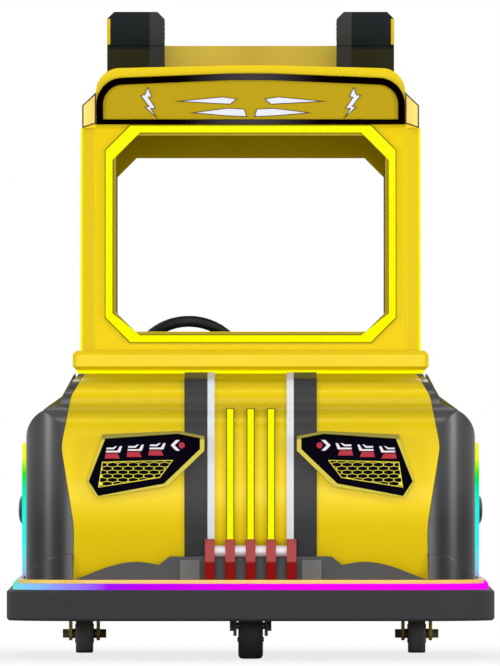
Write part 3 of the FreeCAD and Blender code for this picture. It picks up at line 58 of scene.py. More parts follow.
bpy.context.scene.view_settings.view_transform = "Standard"


def step(tree, kind, settings=(), **wires):
    """One node of a tree, set and wired by the names of its inputs, or n0, n1 by order."""
    node = tree.nodes.new(kind)
    for label, setting in dict(settings).items():
        setattr(node, label, setting)
    for label, wire in wires.items():
        by_order = label[0] == "n" and label[1:].isdigit()
        key = int(label[1:]) if by_order else label.replace("_", " ")
        if isinstance(wire, bpy.types.NodeSocket):
            tree.links.new(wire, node.inputs[key])
        else:
            node.inputs[key].default_value = wire
    return node


def maths(tree, operation, *values):
    """The result of one sum on numbers or sockets."""
    wires = {f"n{order}": value for order, value in enumerate(values)}
    return step(tree, "ShaderNodeMath", {"operation": operation}, **wires).outputs[0]


# The camera sees the floor as white, a little less so close to the car, and the lamps
# light it as matt grey paint.
fade_from, fade_to, share_near, share_far = 0.6, 2.2, 0.8, 1.0
bpy.ops.mesh.primitive_plane_add(size=60, location=(0, 0, 0))
floor = bpy.context.object
floor.name = "studio_floor"
paint = bpy.data.materials.new("floor_paint")
paint.use_nodes = True
tree = paint.node_tree
matt = tree.nodes["Principled BSDF"]
matt.inputs["Base Color"].default_value = (0.5, 0.5, 0.5, 1)
matt.inputs["Roughness"].default_value = 0.9
matt.inputs["Specular IOR Level"].default_value = 0.1
reach = step(tree, "ShaderNodeVectorMath", {"operation": "LENGTH"},
             n0=step(tree, "ShaderNodeTexCoord").outputs["Object"])
fade = step(tree, "ShaderNodeMapRange", {"interpolation_type": "SMOOTHSTEP"},
            n0=reach.outputs["Value"], n1=fade_from, n2=fade_to, n3=share_near, n4=share_far)
seen = step(tree, "ShaderNodeLightPath").outputs["Is Camera Ray"]
bright = step(tree, "ShaderNodeEmission", Color=(1, 1, 1, 1))
both = step(tree, "ShaderNodeMixShader", Fac=maths(tree, "MULTIPLY", seen, fade.outputs[0]),
            n1=matt.outputs[0], n2=bright.outputs[0])
tree.links.new(both.outputs[0], tree.nodes["Material Output"].inputs["Surface"])
floor.data.materials.append(paint)


def lamp(name, place, aim, size, power):
    """A soft rectangular lamp that hangs at a place and looks at a point of the car."""
    light = bpy.data.lights.new(name, "AREA")
    light.shape, light.size, light.size_y, light.energy = "RECTANGLE", size[0], size[1], power
    holder = bpy.data.objects.new(name, light)
    holder.location = place
    direction = Vector(aim) - Vector(place)
    holder.rotation_euler = direction.to_track_quat("-Z", "Y").to_euler()
    holder.visible_camera = False
    bpy.context.scene.collection.objects.link(holder)


lamp("lamp_front", (0, -4.6, 0.6), (0, -0.4, 0.6), (2.4, 0.6), 56)
lamp("lamp_above", (0, -3.2, 3.6), (0, -0.4, 0.6), (2.2, 0.22), 30)
lamp("lamp_left", (3.4, -2.3, 1.2), (0, 0, 0.6), (0.8, 1.4), 62)
lamp("lamp_right", (-3.4, -2.3, 1.2), (0, 0, 0.6), (0.8, 1.4), 54)
lamp("lamp_behind", (0, 4.2, 3.0), (0, 0.3, 0.7), (3.0, 1.6), 110)

# The air round the car is a dim cool white, and full white where the camera sees it,
# straight, mirrored or through something clear.
sky = bpy.data.worlds.new("studio_air")
bpy.context.scene.world = sky
sky.use_nodes = True
tree = sky.node_tree
backdrop = tree.nodes["Background"]
backdrop.inputs["Color"].default_value = (1, 1, 1, 1)
backdrop.inputs["Strength"].default_value = 1.0
air = step(tree, "ShaderNodeBackground", Color=(0.96, 0.98, 1.0, 1), Strength=0.4)
rays = step(tree, "ShaderNodeLightPath").outputs
seen = maths(tree, "MAXIMUM", rays["Is Camera Ray"], rays["Is Glossy Ray"])
white = maths(tree, "MAXIMUM", seen, rays["Is Transmission Ray"])
either = step(tree, "ShaderNodeMixShader", Fac=white, n1=air.outputs[0],
              n2=backdrop.outputs[0])
tree.links.new(either.outputs[0], tree.nodes["World Output"].inputs["Surface"])

# The bumper and the deck: a ring of dark foam rubber round a welded steel frame, with a
# lit strip on top of it and a golden sheet deck that carries the body.


def shade(red, green, blue):
    """A paint shade in 0-255 steps, as linear light."""
    levels = [level / 255 for level in (red, green, blue)]
    return tuple(level / 12.92 if level <= 0.04045 else ((level + 0.055) / 1.055) ** 2.4
                 for level in levels) + (1.0,)


def add_group(name, inputs, outputs):
    """An empty shader group with its sockets, and the two nodes that stand for its ends."""
    group = bpy.data.node_groups.new(name, "ShaderNodeTree")
    for label, kind, start in inputs:
        socket = group.interface.new_socket(label, in_out="INPUT", socket_type=kind)
        if start is not None:
            socket.default_value = start
    for label, kind in outputs:
        group.interface.new_socket(label, in_out="OUTPUT", socket_type=kind)
    return group, group.nodes.new("NodeGroupInput"), group.nodes.new("NodeGroupOutput")


drift, start, end = add_group(
    "shade_drift",
    (("Shade", "NodeSocketColor", None), ("Place", "NodeSocketVector", None),
     ("Patch", "NodeSocketFloat", 4.0), ("Amount", "NodeSocketFloat", 0.05),
     ("Gloss", "NodeSocketFloat", 0.3), ("Gloss Spread", "NodeSocketFloat", 0.08)),
    (("Shade", "NodeSocketColor"), ("Gloss", "NodeSocketFloat")))
given = start.outputs
cloud = step(drift, "ShaderNodeTexNoise", Vector=given["Place"], Scale=given["Patch"],
             Detail=3.0, Roughness=0.55)
swing = maths(drift, "MULTIPLY_ADD", cloud.outputs["Fac"], given["Amount"], 1.0)
level = maths(drift, "MULTIPLY_ADD", given["Amount"], -0.5, swing)
tinted = step(drift, "ShaderNodeVectorMath", {"operation": "SCALE"}, n0=given["Shade"],
              Scale=level)
drift.links.new(tinted.outputs[0], end.inputs["Shade"])
fine = step(drift, "ShaderNodeTexNoise", Vector=given["Place"], Scale=37.0, Detail=4.0)
rougher = maths(drift, "MULTIPLY_ADD", fine.outputs["Fac"], given["Gloss Spread"],
                given["Gloss"])
drift.links.new(rougher, end.inputs["Gloss"])

skin, start, end = add_group(
    "surface_grain",
    (("Place", "NodeSocketVector", None), ("Grain", "NodeSocketFloat", 600.0),
     ("Wave", "NodeSocketFloat", 30.0), ("Wave Share", "NodeSocketFloat", 0.3)),
    (("Height", "NodeSocketFloat"),))
given = start.outputs
grain = step(skin, "ShaderNodeTexNoise", Vector=given["Place"], Scale=given["Grain"],
             Detail=2.0)
wave = step(skin, "ShaderNodeTexNoise", Vector=given["Place"], Scale=given["Wave"],
            Detail=1.0)
height = maths(skin, "MULTIPLY_ADD", wave.outputs["Fac"], given["Wave Share"],
               grain.outputs["Fac"])
skin.links.new(height, end.inputs["Height"])

rubbed, start, end = add_group(
    "rubbed_edges",
    (("Place", "NodeSocketVector", None), ("Rounded", "NodeSocketVector", None),
     ("Reach", "NodeSocketFloat", 6.0), ("Patches", "NodeSocketFloat", 40.0)),
    (("Mask", "NodeSocketFloat"),))
given = start.outputs
facing = step(rubbed, "ShaderNodeNewGeometry").outputs["Normal"]
turn = step(rubbed, "ShaderNodeVectorMath", {"operation": "DOT_PRODUCT"}, n0=given["Rounded"],
            n1=facing)
edge = maths(rubbed, "SUBTRACT", 1.0, turn.outputs["Value"])
clamped = {"operation": "MULTIPLY", "use_clamp": True}
sharp = step(rubbed, "ShaderNodeMath", clamped, n0=edge, n1=given["Reach"])
worn = step(rubbed, "ShaderNodeTexNoise", Vector=given["Place"], Scale=given["Patches"],
            Detail=5.0)
patchy = step(rubbed, "ShaderNodeMapRange", n0=worn.outputs["Fac"], n1=0.42, n2=0.62)
mask = step(rubbed, "ShaderNodeMath", clamped, n0=sharp.outputs[0], n1=patchy.outputs[0])
rubbed.links.new(mask.outputs[0], end.inputs["Mask"])


def mixed(tree, share, low, high):
    """Two shades mixed by a share from 0 to 1."""
    return step(tree, "ShaderNodeMix", {"data_type": "RGBA"}, n0=share, n6=low,
                n7=high).outputs[2]


def finish(name, tint, rough, metal=0.0, coat=0.0, amount=0.06, patch=4.0, spread=0.08,
           grain_size=900.0, grain_depth=0.00004, wave_share=0.3, rounding=0.0015,
           worn_tint=None, wear=6.0, level=0.5, sheen_tint=(1, 1, 1)):
    """A moulded, painted or metal finish: drifting shade, grain, softened and rubbed edges.
    tint is one shade, or a pattern that wires its own shade into the material."""
    made = bpy.data.materials.new(name)
    made.use_nodes = True
    tree = made.node_tree
    shader = tree.nodes["Principled BSDF"]
    shader.inputs["Metallic"].default_value = metal
    shader.inputs["Specular IOR Level"].default_value = level
    shader.inputs["Specular Tint"].default_value = (*sheen_tint, 1)
    shader.inputs["Coat Weight"].default_value = coat
    shader.inputs["Coat Roughness"].default_value = 0.06
    place = step(tree, "ShaderNodeTexCoord").outputs["Object"]
    tone = step(tree, "ShaderNodeGroup", {"node_tree": drift},
                Shade=tint(tree, place) if callable(tint) else tint, Place=place,
                Patch=patch, Amount=amount, Gloss=rough, Gloss_Spread=spread)
    height = step(tree, "ShaderNodeGroup", {"node_tree": skin}, Place=place,
                  Grain=grain_size, Wave_Share=wave_share)
    soft = step(tree, "ShaderNodeBevel", {"samples": 6}, Radius=rounding)
    bump = step(tree, "ShaderNodeBump", Strength=1.0, Distance=grain_depth,
                Height=height.outputs["Height"], Normal=soft.outputs["Normal"])
    colour = tone.outputs["Shade"]
    if worn_tint:
        touched = step(tree, "ShaderNodeGroup", {"node_tree": rubbed}, Place=place,
                       Rounded=soft.outputs["Normal"], Reach=wear)
        colour = mixed(tree, touched.outputs["Mask"], colour, worn_tint)
    tree.links.new(colour, shader.inputs["Base Color"])
    tree.links.new(tone.outputs["Gloss"], shader.inputs["Roughness"])
    tree.links.new(bump.outputs["Normal"], shader.inputs["Normal"])
    return made


def dress(material, *nodes):
    """Gives a finish to nodes of the frame."""
    for node in nodes:
        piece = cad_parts[node]
        if not piece.material_slots:
            piece.data.materials.append(material)
        for place in piece.material_slots:
            place.material = material


def along_axis(tree, place, axis):
    """How far a point lies along one axis of the car."""
    return step(tree, "ShaderNodeSeparateXYZ", Vector=place).outputs[axis]


def graded(tree, along, low, high, stops):
    """A run of shades between two places on an axis, through given stops."""
    run = step(tree, "ShaderNodeMapRange", n0=along, n1=low, n2=high)
    ramp = step(tree, "ShaderNodeValToRGB", Fac=run.outputs[0])
    while len(ramp.color_ramp.elements) < len(stops):
        ramp.color_ramp.elements.new(0.5)
    for element, (where, tint) in zip(ramp.color_ramp.elements, stops):
        element.position = where
        element.color = tint
    return ramp.outputs[0]


def glow(name, axis, low, high, stops, strength=1.0, own=0.02):
    """A lit plastic whose colour runs along one axis of the car, through given stops. own
    is the part of that colour that it keeps when unlit."""
    made = bpy.data.materials.new(name)
    made.use_nodes = True
    tree = made.node_tree
    shader = tree.nodes["Principled BSDF"]
    shader.inputs["Roughness"].default_value = 0.35
    shader.inputs["Specular IOR Level"].default_value = 0.0
    place = step(tree, "ShaderNodeTexCoord").outputs["Object"]
    colour = graded(tree, along_axis(tree, place, axis), low, high, stops)
    beads = step(tree, "ShaderNodeTexNoise", Vector=place, Scale=140.0, Detail=0.0)
    dots = step(tree, "ShaderNodeMapRange", n0=beads.outputs["Fac"], n3=0.94, n4=1.06)
    lit = step(tree, "ShaderNodeVectorMath", {"operation": "SCALE"}, n0=colour,
               Scale=dots.outputs[0])
    tree.links.new(lit.outputs[0], shader.inputs["Emission Color"])
    shader.inputs["Emission Strength"].default_value = strength
    unlit = step(tree, "ShaderNodeVectorMath", {"operation": "SCALE"}, n0=lit.outputs[0],
                 Scale=own)
    tree.links.new(unlit.outputs[0], shader.inputs["Base Color"])
    return made


bumper_rubber = finish("bumper_rubber", shade(44, 44, 46), 0.62, amount=0.12, patch=7.0,
                       grain_size=1400.0, grain_depth=0.00012, rounding=0.003,
                       worn_tint=shade(70, 69, 68), wear=4.0, level=0.2)
dress(bumper_rubber, "bumper_band")
strip_glow = glow("strip_glow", "X", -0.536, 0.536, (
    (0.0, shade(110, 228, 215)), (0.03, shade(130, 205, 250)), (0.1, shade(146, 150, 252)),
    (0.17, shade(156, 92, 252)), (0.2, shade(162, 20, 246)), (0.28, shade(190, 3, 247)),
    (0.42, shade(224, 3, 248)), (0.6, shade(247, 3, 248)), (1.0, shade(250, 8, 248))))
dress(strip_glow, "base_light_strip")
deck_gold = finish("deck_gold", shade(228, 190, 81), 0.32, amount=0.08,
                   worn_tint=shade(150, 130, 80), wear=3.0)
dress(deck_gold, "base_plate")
frame_steel = finish("frame_steel", shade(44, 44, 46), 0.45, amount=0.2, patch=9.0,
                     grain_depth=0.0001, worn_tint=shade(120, 118, 114), coat=0.2)
dress(frame_steel, "chassis_frame", "front_fork", "fork_turnplate", "battery_block")


def alone(piece):
    """Leaves one piece selected and active, ready for the next tool."""
    bpy.ops.object.select_all(action="DESELECT")
    piece.select_set(True)
    bpy.context.view_layer.objects.active = piece


def work_in():
    """Works the selected piece's place, turn and size into its mesh."""
    bpy.ops.object.transform_apply(location=True, rotation=True, scale=True)


def edit_all():
    """Opens the active piece for shaping, with all of its mesh selected."""
    bpy.ops.object.mode_set(mode="EDIT")
    bpy.ops.mesh.select_all(action="SELECT")


def settle(piece, body, material, smooth=None):
    """Fixes a finished piece to a body of the car, with its finish and its smooth shading."""
    alone(piece)
    work_in()
    if smooth:
        bpy.ops.object.shade_smooth_by_angle(angle=math.radians(smooth))
    piece.data.materials.clear()
    piece.data.materials.append(material)
    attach(piece, body)
    return piece


def join(name, pieces):
    """Several like pieces as one object."""
    bpy.ops.object.select_all(action="DESELECT")
    for piece in pieces:
        piece.select_set(True)
    bpy.context.view_layer.objects.active = pieces[0]
    if len(pieces) > 1:
        bpy.ops.object.join()
    pieces[0].name = name
    return pieces[0]


def block(name, low, high, bevel=0.0, segments=2):
    """A rectangular piece between two corners, with its edges rounded over."""
    bpy.ops.object.select_all(action="DESELECT")
    middle = [(a + b) / 2 for a, b in zip(low, high)]
    bpy.ops.mesh.primitive_cube_add(size=1, location=middle)
    piece = bpy.context.object
    piece.name = name
    piece.scale = [b - a for a, b in zip(low, high)]
    work_in()
    if bevel:
        edit_all()
        bpy.ops.mesh.bevel(offset=bevel, segments=segments, affect="EDGES")
        bpy.ops.object.mode_set(mode="OBJECT")
    return piece


def turned(name, outline, centre, axis="X", steps=48):
    """A piece turned about an axle: outline is (along the axle, radius) pairs in order."""
    bpy.ops.object.select_all(action="DESELECT")
    bpy.ops.mesh.primitive_circle_add(vertices=len(outline), radius=1, fill_type="NOTHING")
    piece = bpy.context.object
    piece.name = name
    centre, axle = Vector(centre), Vector([letter == axis for letter in "XYZ"])
    outward = Vector((1, 0, 0)) if axis == "Z" else Vector((0, 0, 1))
    for corner, (along, radius) in zip(piece.data.vertices, outline):
        corner.co = centre + axle * along + outward * radius
    edit_all()
    bpy.ops.mesh.spin(steps=steps, angle=2 * math.pi, center=centre, axis=axle)
    bpy.ops.mesh.select_all(action="SELECT")
    bpy.ops.mesh.remove_doubles(threshold=0.00002)
    bpy.ops.mesh.dissolve_degenerate(threshold=0.00001)
    bpy.ops.mesh.select_all(action="SELECT")
    bpy.ops.mesh.normals_make_consistent(inside=False)
    bpy.ops.object.mode_set(mode="OBJECT")
    return piece


def screws(name, places, axis, radius, height, material, body="car_body"):
    """A set of dome-headed screws with a round socket in each head, facing along an axis."""
    turn = {"X": (0, 90, 0), "-X": (0, -90, 0), "Y": (-90, 0, 0), "Z": (0, 0, 0)}[axis]
    shoulder, dome, socket_rim, sunk = 0.25, 0.35, 0.28, 0.6
    heads = []
    for place in places:
        bpy.ops.object.select_all(action="DESELECT")
        bpy.ops.mesh.primitive_cylinder_add(vertices=16, radius=radius, depth=height)
        head = bpy.context.object
        bpy.ops.object.mode_set(mode="EDIT")
        bpy.ops.mesh.select_mode(type="FACE")
        bpy.ops.mesh.select_all(action="DESELECT")
        bpy.ops.object.mode_set(mode="OBJECT")
        for face in head.data.polygons:
            face.select = face.normal.z > 0.9
        bpy.ops.object.mode_set(mode="EDIT")
        bpy.ops.mesh.inset(thickness=radius * shoulder)
        bpy.ops.transform.translate(value=(0, 0, height * dome))
        bpy.ops.mesh.inset(thickness=radius * socket_rim)
        bpy.ops.mesh.extrude_region_move(
            TRANSFORM_OT_translate={"value": (0, 0, -height * sunk)})
        bpy.ops.object.mode_set(mode="OBJECT")
        head.rotation_euler = [math.radians(angle) for angle in turn]
        head.location = place
        work_in()
        heads.append(head)
    return settle(join(name, heads), body, material, 40)


bolt_zinc = finish("bolt_zinc", shade(150, 150, 146), 0.3, metal=1.0, amount=0.2, patch=60.0)
deck_edge, _, deck_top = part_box("base_plate")[1]
screws("deck_screws", [(sign * (deck_edge - 0.011), along, deck_top + 0.001)
                       for sign in (1, -1) for along in (-0.42, -0.21, 0.0, 0.21, 0.42)],
       "Z", 0.006, 0.003, bolt_zinc)

# The wheels: two plain ones in brackets under the tail and the steered drive wheel in
# its fork under the nose. Rubber is moulded on plastic hubs, which turn on plated axles.
tyre_rubber = finish("tyre_rubber", shade(46, 46, 47), 0.6, amount=0.2, patch=20.0,
                     grain_size=1600.0, grain_depth=0.00015, worn_tint=shade(58, 56, 54),
                     wear=3.0, level=0.3)
hub_plastic = finish("hub_plastic", shade(58, 58, 60), 0.4, amount=0.1, patch=25.0)
zinc_steel = finish("zinc_steel", shade(196, 178, 84), 0.36, metal=0.6, amount=0.3, patch=30.0,
                    spread=0.2, grain_depth=0.00006, worn_tint=shade(90, 84, 50))
axle_steel = finish("axle_steel", shade(150, 142, 120), 0.3, metal=0.7, amount=0.2, patch=60.0)
# The rear rollers' rubber is painted paler grey than the drive tyre, as painted light in the
# shade under the bumper.
roller_rubber_painted_light = finish("roller_rubber_painted_light", shade(112, 112, 114), 0.5, amount=0.2, patch=20.0,
                       grain_size=1600.0, grain_depth=0.0001, level=0.4)
dress(hub_plastic, "front_hub", "rear_hub_left", "rear_hub_right")
dress(zinc_steel, "wheel_brackets")
dress(axle_steel, "rear_axles", "front_axle")

sides = (("left", 1, "X"), ("right", -1, "-X"))


def both_ways(half):
    """A tyre's outline from one side wall to the other, from its outer half."""
    return half + [(-along, radius) for along, radius in reversed(half)]


def ring(centre, radius, count, first=0):
    """Places spread evenly round an axle that lies across the car."""
    x, y, z = centre
    turns = [math.radians(first + 360 / count * number) for number in range(count)]
    return [(x, y + radius * math.cos(turn), z + radius * math.sin(turn)) for turn in turns]


front_along, front_radius = -0.52, 0.075
tread = both_ways([(0.026, 0.0522), (0.028, 0.060), (0.0277, 0.068), (0.0245, 0.0732),
                   (0.0195, 0.0748), (0.0186, 0.0738), (0.0176, 0.0748), (0.008, 0.075)])
front_tread = settle(turned("front_tyre_tread", tread, (0, front_along, front_radius)),
                     "front_wheel", tyre_rubber, 35)
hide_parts("front_tyre")
rear_across, rear_along, rear_radius = 0.382, 0.48, 0.0447
roll = both_ways([(0.0195, 0.0273), (0.02, 0.034), (0.02, 0.0414), (0.0192, 0.0435),
                  (0.0168, 0.0445), (0.009, rear_radius)])
for side, sign, _ in sides:
    middle = (sign * rear_across, rear_along, rear_radius)
    piece = settle(turned(f"rear_tyre_{side}_tread", roll, middle), f"rear_wheel_{side}",
                   roller_rubber_painted_light, 35)
    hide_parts(f"rear_tyre_{side}")
    for _, facing, turn in sides:
        end = "outer" if facing == sign else "inner"
        face = (middle[0] + facing * 0.0202, rear_along, rear_radius)
        screws(f"rear_hub_screws_{side}_{end}", ring(face, 0.019, 5), turn, 0.0035, 0.002,
               bolt_zinc, f"rear_wheel_{side}")
for side, sign, turn in sides:
    screws(f"front_hub_screws_{side}",
           ring((sign * 0.0282, front_along, front_radius), 0.036, 6), turn, 0.005, 0.0025,
           bolt_zinc, "front_wheel")

# The hood, the tail, the fenders and the cab shells: glossy mouldings, yellow and black.
# The hood's yellow carries painted shade, darker close to each lit bar, in the crease over the
# brow and towards its top and foot.
def off_middle(tree, place):
    """How far a point lies from the car's middle, to either side."""
    return maths(tree, "ABSOLUTE", along_axis(tree, place, "X"))


def between(tree, value, low, high, at_low=0.0, at_high=1.0, **settings):
    """A share that runs from one number to another between two places."""
    return step(tree, "ShaderNodeMapRange", settings, n0=value, n1=low, n2=high, n3=at_low,
                n4=at_high).outputs[0]


hood_shade, half_pitch = shade(220, 190, 0), 0.023


def hood_painted_shade(tree, place):
    """The hood's yellow with painted shade: darker beside the three lit bars, in the crease over
    the brow, towards its foot and where it turns under the ledge."""
    height = along_axis(tree, place, "Z")
    from_bar = maths(tree, "PINGPONG", along_axis(tree, place, "X"), half_pitch)
    depth = between(tree, from_bar, 0.007, 0.021, 0.8, 1.0)
    beside = between(tree, off_middle(tree, place), 0.082, 0.083, 1.0, 0.0)
    below = between(tree, height, 0.55, 0.572, 1.0, 0.0)
    fore = between(tree, along_axis(tree, place, "Y"), -0.56, -0.6)
    here = maths(tree, "MULTIPLY", maths(tree, "MULTIPLY", beside, below), fore)
    beside_bar_shade = step(tree, "ShaderNodeMix", {"data_type": "FLOAT"}, n0=here, n2=1.0,
                  n3=depth).outputs[0]
    # Painted shade by height: the yellow is dimmed at the foot, at the brow, in the crease and
    # on the roll under the ledge.
    foot, top = 0.17, 0.65
    levels = ((foot, 0.80), (0.27, 0.90), (0.34, 1.0), (0.42, 1.0), (0.52, 0.86), (0.54, 0.84),
              (0.565, 0.55), (0.601, 0.95), (0.619, 0.78), (0.640, 0.60))
    painted_height_shade = graded(tree, height, foot, top,
                     [((z - foot) / (top - foot), (part, part, part, 1))
                      for z, part in levels])
    return step(tree, "ShaderNodeVectorMath", {"operation": "SCALE"}, n0=hood_shade[:3],
                Scale=maths(tree, "MULTIPLY", beside_bar_shade, painted_height_shade)).outputs[0]


def split_at_level(upper, lower, level, blur=0.002):
    """A finish in two shades that meet at a level."""
    def pattern(tree, place):
        run = between(tree, along_axis(tree, place, "Z"), level - blur, level + blur)
        return mixed(tree, run, lower, upper)
    return pattern


def fender_painted_sheen(tree, place):
    """Painted reflection and shade on a fender: black at its foot and greyer towards its
    shoulder.
    """
    return graded(tree, along_axis(tree, place, "Z"), 0.17, 0.61, (
        (0.0, shade(4, 4, 5)), (0.32, shade(12, 12, 13)), (0.5, shade(42, 42, 43)),
        (0.74, shade(52, 52, 53)), (1.0, shade(34, 34, 36))))


gloss = dict(grain_size=500.0, grain_depth=0.00002, wave_share=1.5, rounding=0.002)
yellow = dict(amount=0.05, patch=2.5, sheen_tint=(1.0, 0.87, 0.3), **gloss)
body_yellow = finish("body_yellow", hood_shade, 0.26, level=0.4, **yellow)
hood_yellow = finish("hood_yellow", hood_painted_shade, 0.26, level=0.4, **yellow)
# The cab's rear frame is the body's yellow painted darker, as painted shade inside the cab.
back_yellow_painted_shade = finish("back_yellow_painted_shade", shade(140, 121, 0), 0.5, level=0.03, **yellow)
# The roof band is the body's yellow painted paler and brighter, as painted light where it sits
# in shade.
band_yellow_painted_light = finish("band_yellow_painted_light", shade(252, 224, 92), 0.4, level=1.0, **yellow)
# The side panels are painted dark olive above their shoulder level, as painted shade, and the
# hood's yellow below it.
side_yellow = finish("side_yellow", split_at_level(shade(62, 56, 20), hood_shade, 0.560), 0.26,
                     level=0.4, **yellow)
# The fenders' dark grey is graded with height as a painted reflection, greyest just under the
# shoulder.
dark_gloss = finish("dark_gloss", fender_painted_sheen, 0.26, amount=0.08, patch=3.0, **gloss)
dress(hood_yellow, "hood_shell")
dress(side_yellow, "side_panel_left", "side_panel_right")
dress(body_yellow, "tail_body", "cab_front_frame", "cab_side_left", "cab_side_right",
      "roof_shell", "cowl_ledge")
dress(back_yellow_painted_shade, "cab_rear_frame")
dress(band_yellow_painted_light, "roof_band")
dress(dark_gloss, "front_fender_left", "front_fender_right", "rear_fender_left",
      "rear_fender_right")

# The door sills: a ribbed rubber tread glued on top of each, and two rows of screws that
# hold the cab's pillars.
mat_rubber = finish("mat_rubber", shade(34, 34, 36), 0.65, amount=0.15, patch=18.0,
                    grain_size=1500.0, grain_depth=0.0001, worn_tint=shade(66, 65, 62), wear=3.0)


def modify(piece, kind, **settings):
    """Shapes a piece with one modifier and applies it."""
    alone(piece)
    bpy.ops.object.modifier_add(type=kind)
    for label, setting in settings.items():
        setattr(piece.modifiers[-1], label, setting)
    bpy.ops.object.modifier_apply(modifier=piece.modifiers[-1].name)


def ribbed(name, low, high, rib, pitch):
    """A rubber sheet with raised ribs that run across the car."""
    sheet = block(name, low, (high[0], high[1], high[2] - rib), 0.001, 1)
    first = block("rib", (low[0] + pitch / 2, low[1] + pitch / 3, high[2] - rib * 1.5),
                  (high[0] - pitch / 2, low[1] + pitch * 0.75, high[2]), rib * 0.35, 1)
    modify(first, "ARRAY", use_relative_offset=False, use_constant_offset=True,
           constant_offset_displace=(0, pitch, 0),
           count=int((high[1] - low[1] - pitch / 2) / pitch))
    return join(name, [sheet, first])


cab_foot, cab_front, lean = 0.696, -0.440, math.tan(math.radians(6))
pillar_face, post_behind_face, rear_post = 0.3805, 0.060, 0.480
sill_half, sill_bottom, sill_top = 0.145, 0.2995, 0.3035
panel_low, panel_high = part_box("side_panel_left")
for side, sign, turn in sides:
    inner, outer = sorted((sign * (panel_low[0] + 0.008), sign * (panel_high[0] - 0.01)))
    settle(ribbed(f"sill_tread_{side}", (inner, -sill_half, sill_bottom),
                  (outer, sill_half, sill_top), 0.002, 0.012), "car_body",
           mat_rubber, 30)
    places = [(sign * pillar_face, cab_front + post_behind_face + (z - cab_foot) * lean, z)
              for z in (0.75, 0.87, 0.99, 1.11)]
    places += [(sign * pillar_face, rear_post, z) for z in (0.69, 0.82, 0.95, 1.08)]
    screws(f"pillar_screws_{side}", places, turn, 0.0065, 0.003, body_yellow)

# The nose: three lit bars, each on a dark strip of painted shadow, white and dark stripes beside
# them, and a tube guard in five red clamps above a dark skirt with two square stops.
trim_white = finish("trim_white", shade(206, 210, 214), 0.4, level=0.2, amount=0.04)
trim_dark = finish("trim_dark", shade(44, 44, 45), 0.4, level=0.2, amount=0.1)
clamp_bend = 0.221
# The clamps are painted paler red above the bend as a painted sheen, and deep red below it as
# painted shade.
clamp_red = finish("clamp_red", split_at_level(shade(158, 68, 66), shade(130, 0, 0), clamp_bend),
                   0.35, level=0.08, amount=0.1, patch=12.0)
bright_tube = finish("bright_tube", shade(207, 200, 206), 0.5, metal=0.3, amount=0.05)
grey_plastic = finish("grey_plastic", shade(92, 92, 92), 0.5, amount=0.1, level=0.3,
                      worn_tint=shade(128, 128, 128), grain_depth=0.0001)
skirt_dark = finish("skirt_dark", shade(44, 43, 45), 0.42, level=0.4, amount=0.1)
neon_yellow = glow("neon_yellow", "Z", 0.2, 1.25, (
    (0.0, shade(252, 253, 10)), (0.5, shade(252, 253, 0)), (1.0, shade(252, 253, 20))), 0.97)
bar_shadow_dark = finish("bar_shadow_dark", shade(96, 84, 2), 0.5, level=0.1, amount=0.1)
dress(trim_white, "nose_white_trims")
dress(trim_dark, "nose_dark_trims")
dress(clamp_red, "guard_clamps")
dress(bright_tube, "guard_tube")
dress(grey_plastic, "nose_stops")
dress(skirt_dark, "nose_skirt")
dress(neon_yellow, "nose_light_bars", "ledge_light", "window_light_ring", "cab_edge_lights")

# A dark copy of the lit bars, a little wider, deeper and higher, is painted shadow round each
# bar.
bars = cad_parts["nose_light_bars"]
bar_shadows = bpy.data.objects.new("bar_shadow_strips", bars.data.copy())
bpy.context.scene.collection.objects.link(bar_shadows)
alone(bar_shadows)
edit_all()
bpy.ops.mesh.remove_doubles(threshold=0.00001)
bpy.ops.object.mode_set(mode="OBJECT")
bar_pitch, wider, deeper, higher = 2 * half_pitch, 1.3, 0.0035, 0.002
for corner in bar_shadows.data.vertices:
    centre = round(corner.co.x / bar_pitch) * bar_pitch
    corner.co.x = centre + (corner.co.x - centre) * wider
    corner.co.y += deeper
    corner.co.z += higher
settle(bar_shadows, "car_body", bar_shadow_dark)

# The lamps: black wedge-shaped housings in a thin olive frame, each with a yellow
# honeycomb, red blocks and a dot, and white hooked bars and a chevron on its face.
frame_top_edge = 0.4965
# The frame is painted darker olive above its top edge as painted shade, and paler below it as
# painted light.
lamp_olive = finish("lamp_olive", split_at_level(shade(128, 119, 16), shade(192, 178, 44),
                                           frame_top_edge), 0.35, level=0.25)
lamp_black = finish("lamp_black", shade(9, 7, 18), 0.4, level=0.0, amount=0.1)
mesh_yellow = finish("mesh_yellow", shade(226, 214, 66), 0.4, level=0.2)
sign_red = finish("sign_red", shade(164, 24, 44), 0.4, level=0.2)
sign_white = finish("sign_white", shade(222, 212, 220), 0.4, level=0.2)
dress(lamp_olive, "lamp_frames")
dress(lamp_black, "lamp_bodies")
dress(mesh_yellow, "lamp_meshes")
dress(sign_red, "lamp_blocks")
dress(sign_white, "lamp_bars")

# The window: the lit ring lies between two dark joints, with a pale golden lip round the
# opening, all in the plane of the leaning cab front.
def cut_out(name, corners, face, depth, leaning=False):
    """A flat piece cut to an outline seen from the front, of a given depth behind its face."""
    bpy.ops.object.select_all(action="DESELECT")
    bpy.ops.mesh.primitive_circle_add(vertices=len(corners), radius=1, fill_type="NGON")
    piece = bpy.context.object
    piece.name = name
    for corner, (x, z) in zip(piece.data.vertices, corners):
        slope = (z - cab_foot) * lean if leaning else 0
        corner.co = (x, face + slope, z)
    piece.data.update()
    if depth:
        thicken(piece, depth)
    return piece


def thicken(piece, depth):
    """Gives a flat outline its depth behind its face."""
    alone(piece)
    edit_all()
    bpy.ops.mesh.extrude_region_move(TRANSFORM_OT_translate={"value": (0, depth, 0)})
    bpy.ops.mesh.select_all(action="SELECT")
    bpy.ops.mesh.normals_make_consistent(inside=False)
    bpy.ops.object.mode_set(mode="OBJECT")


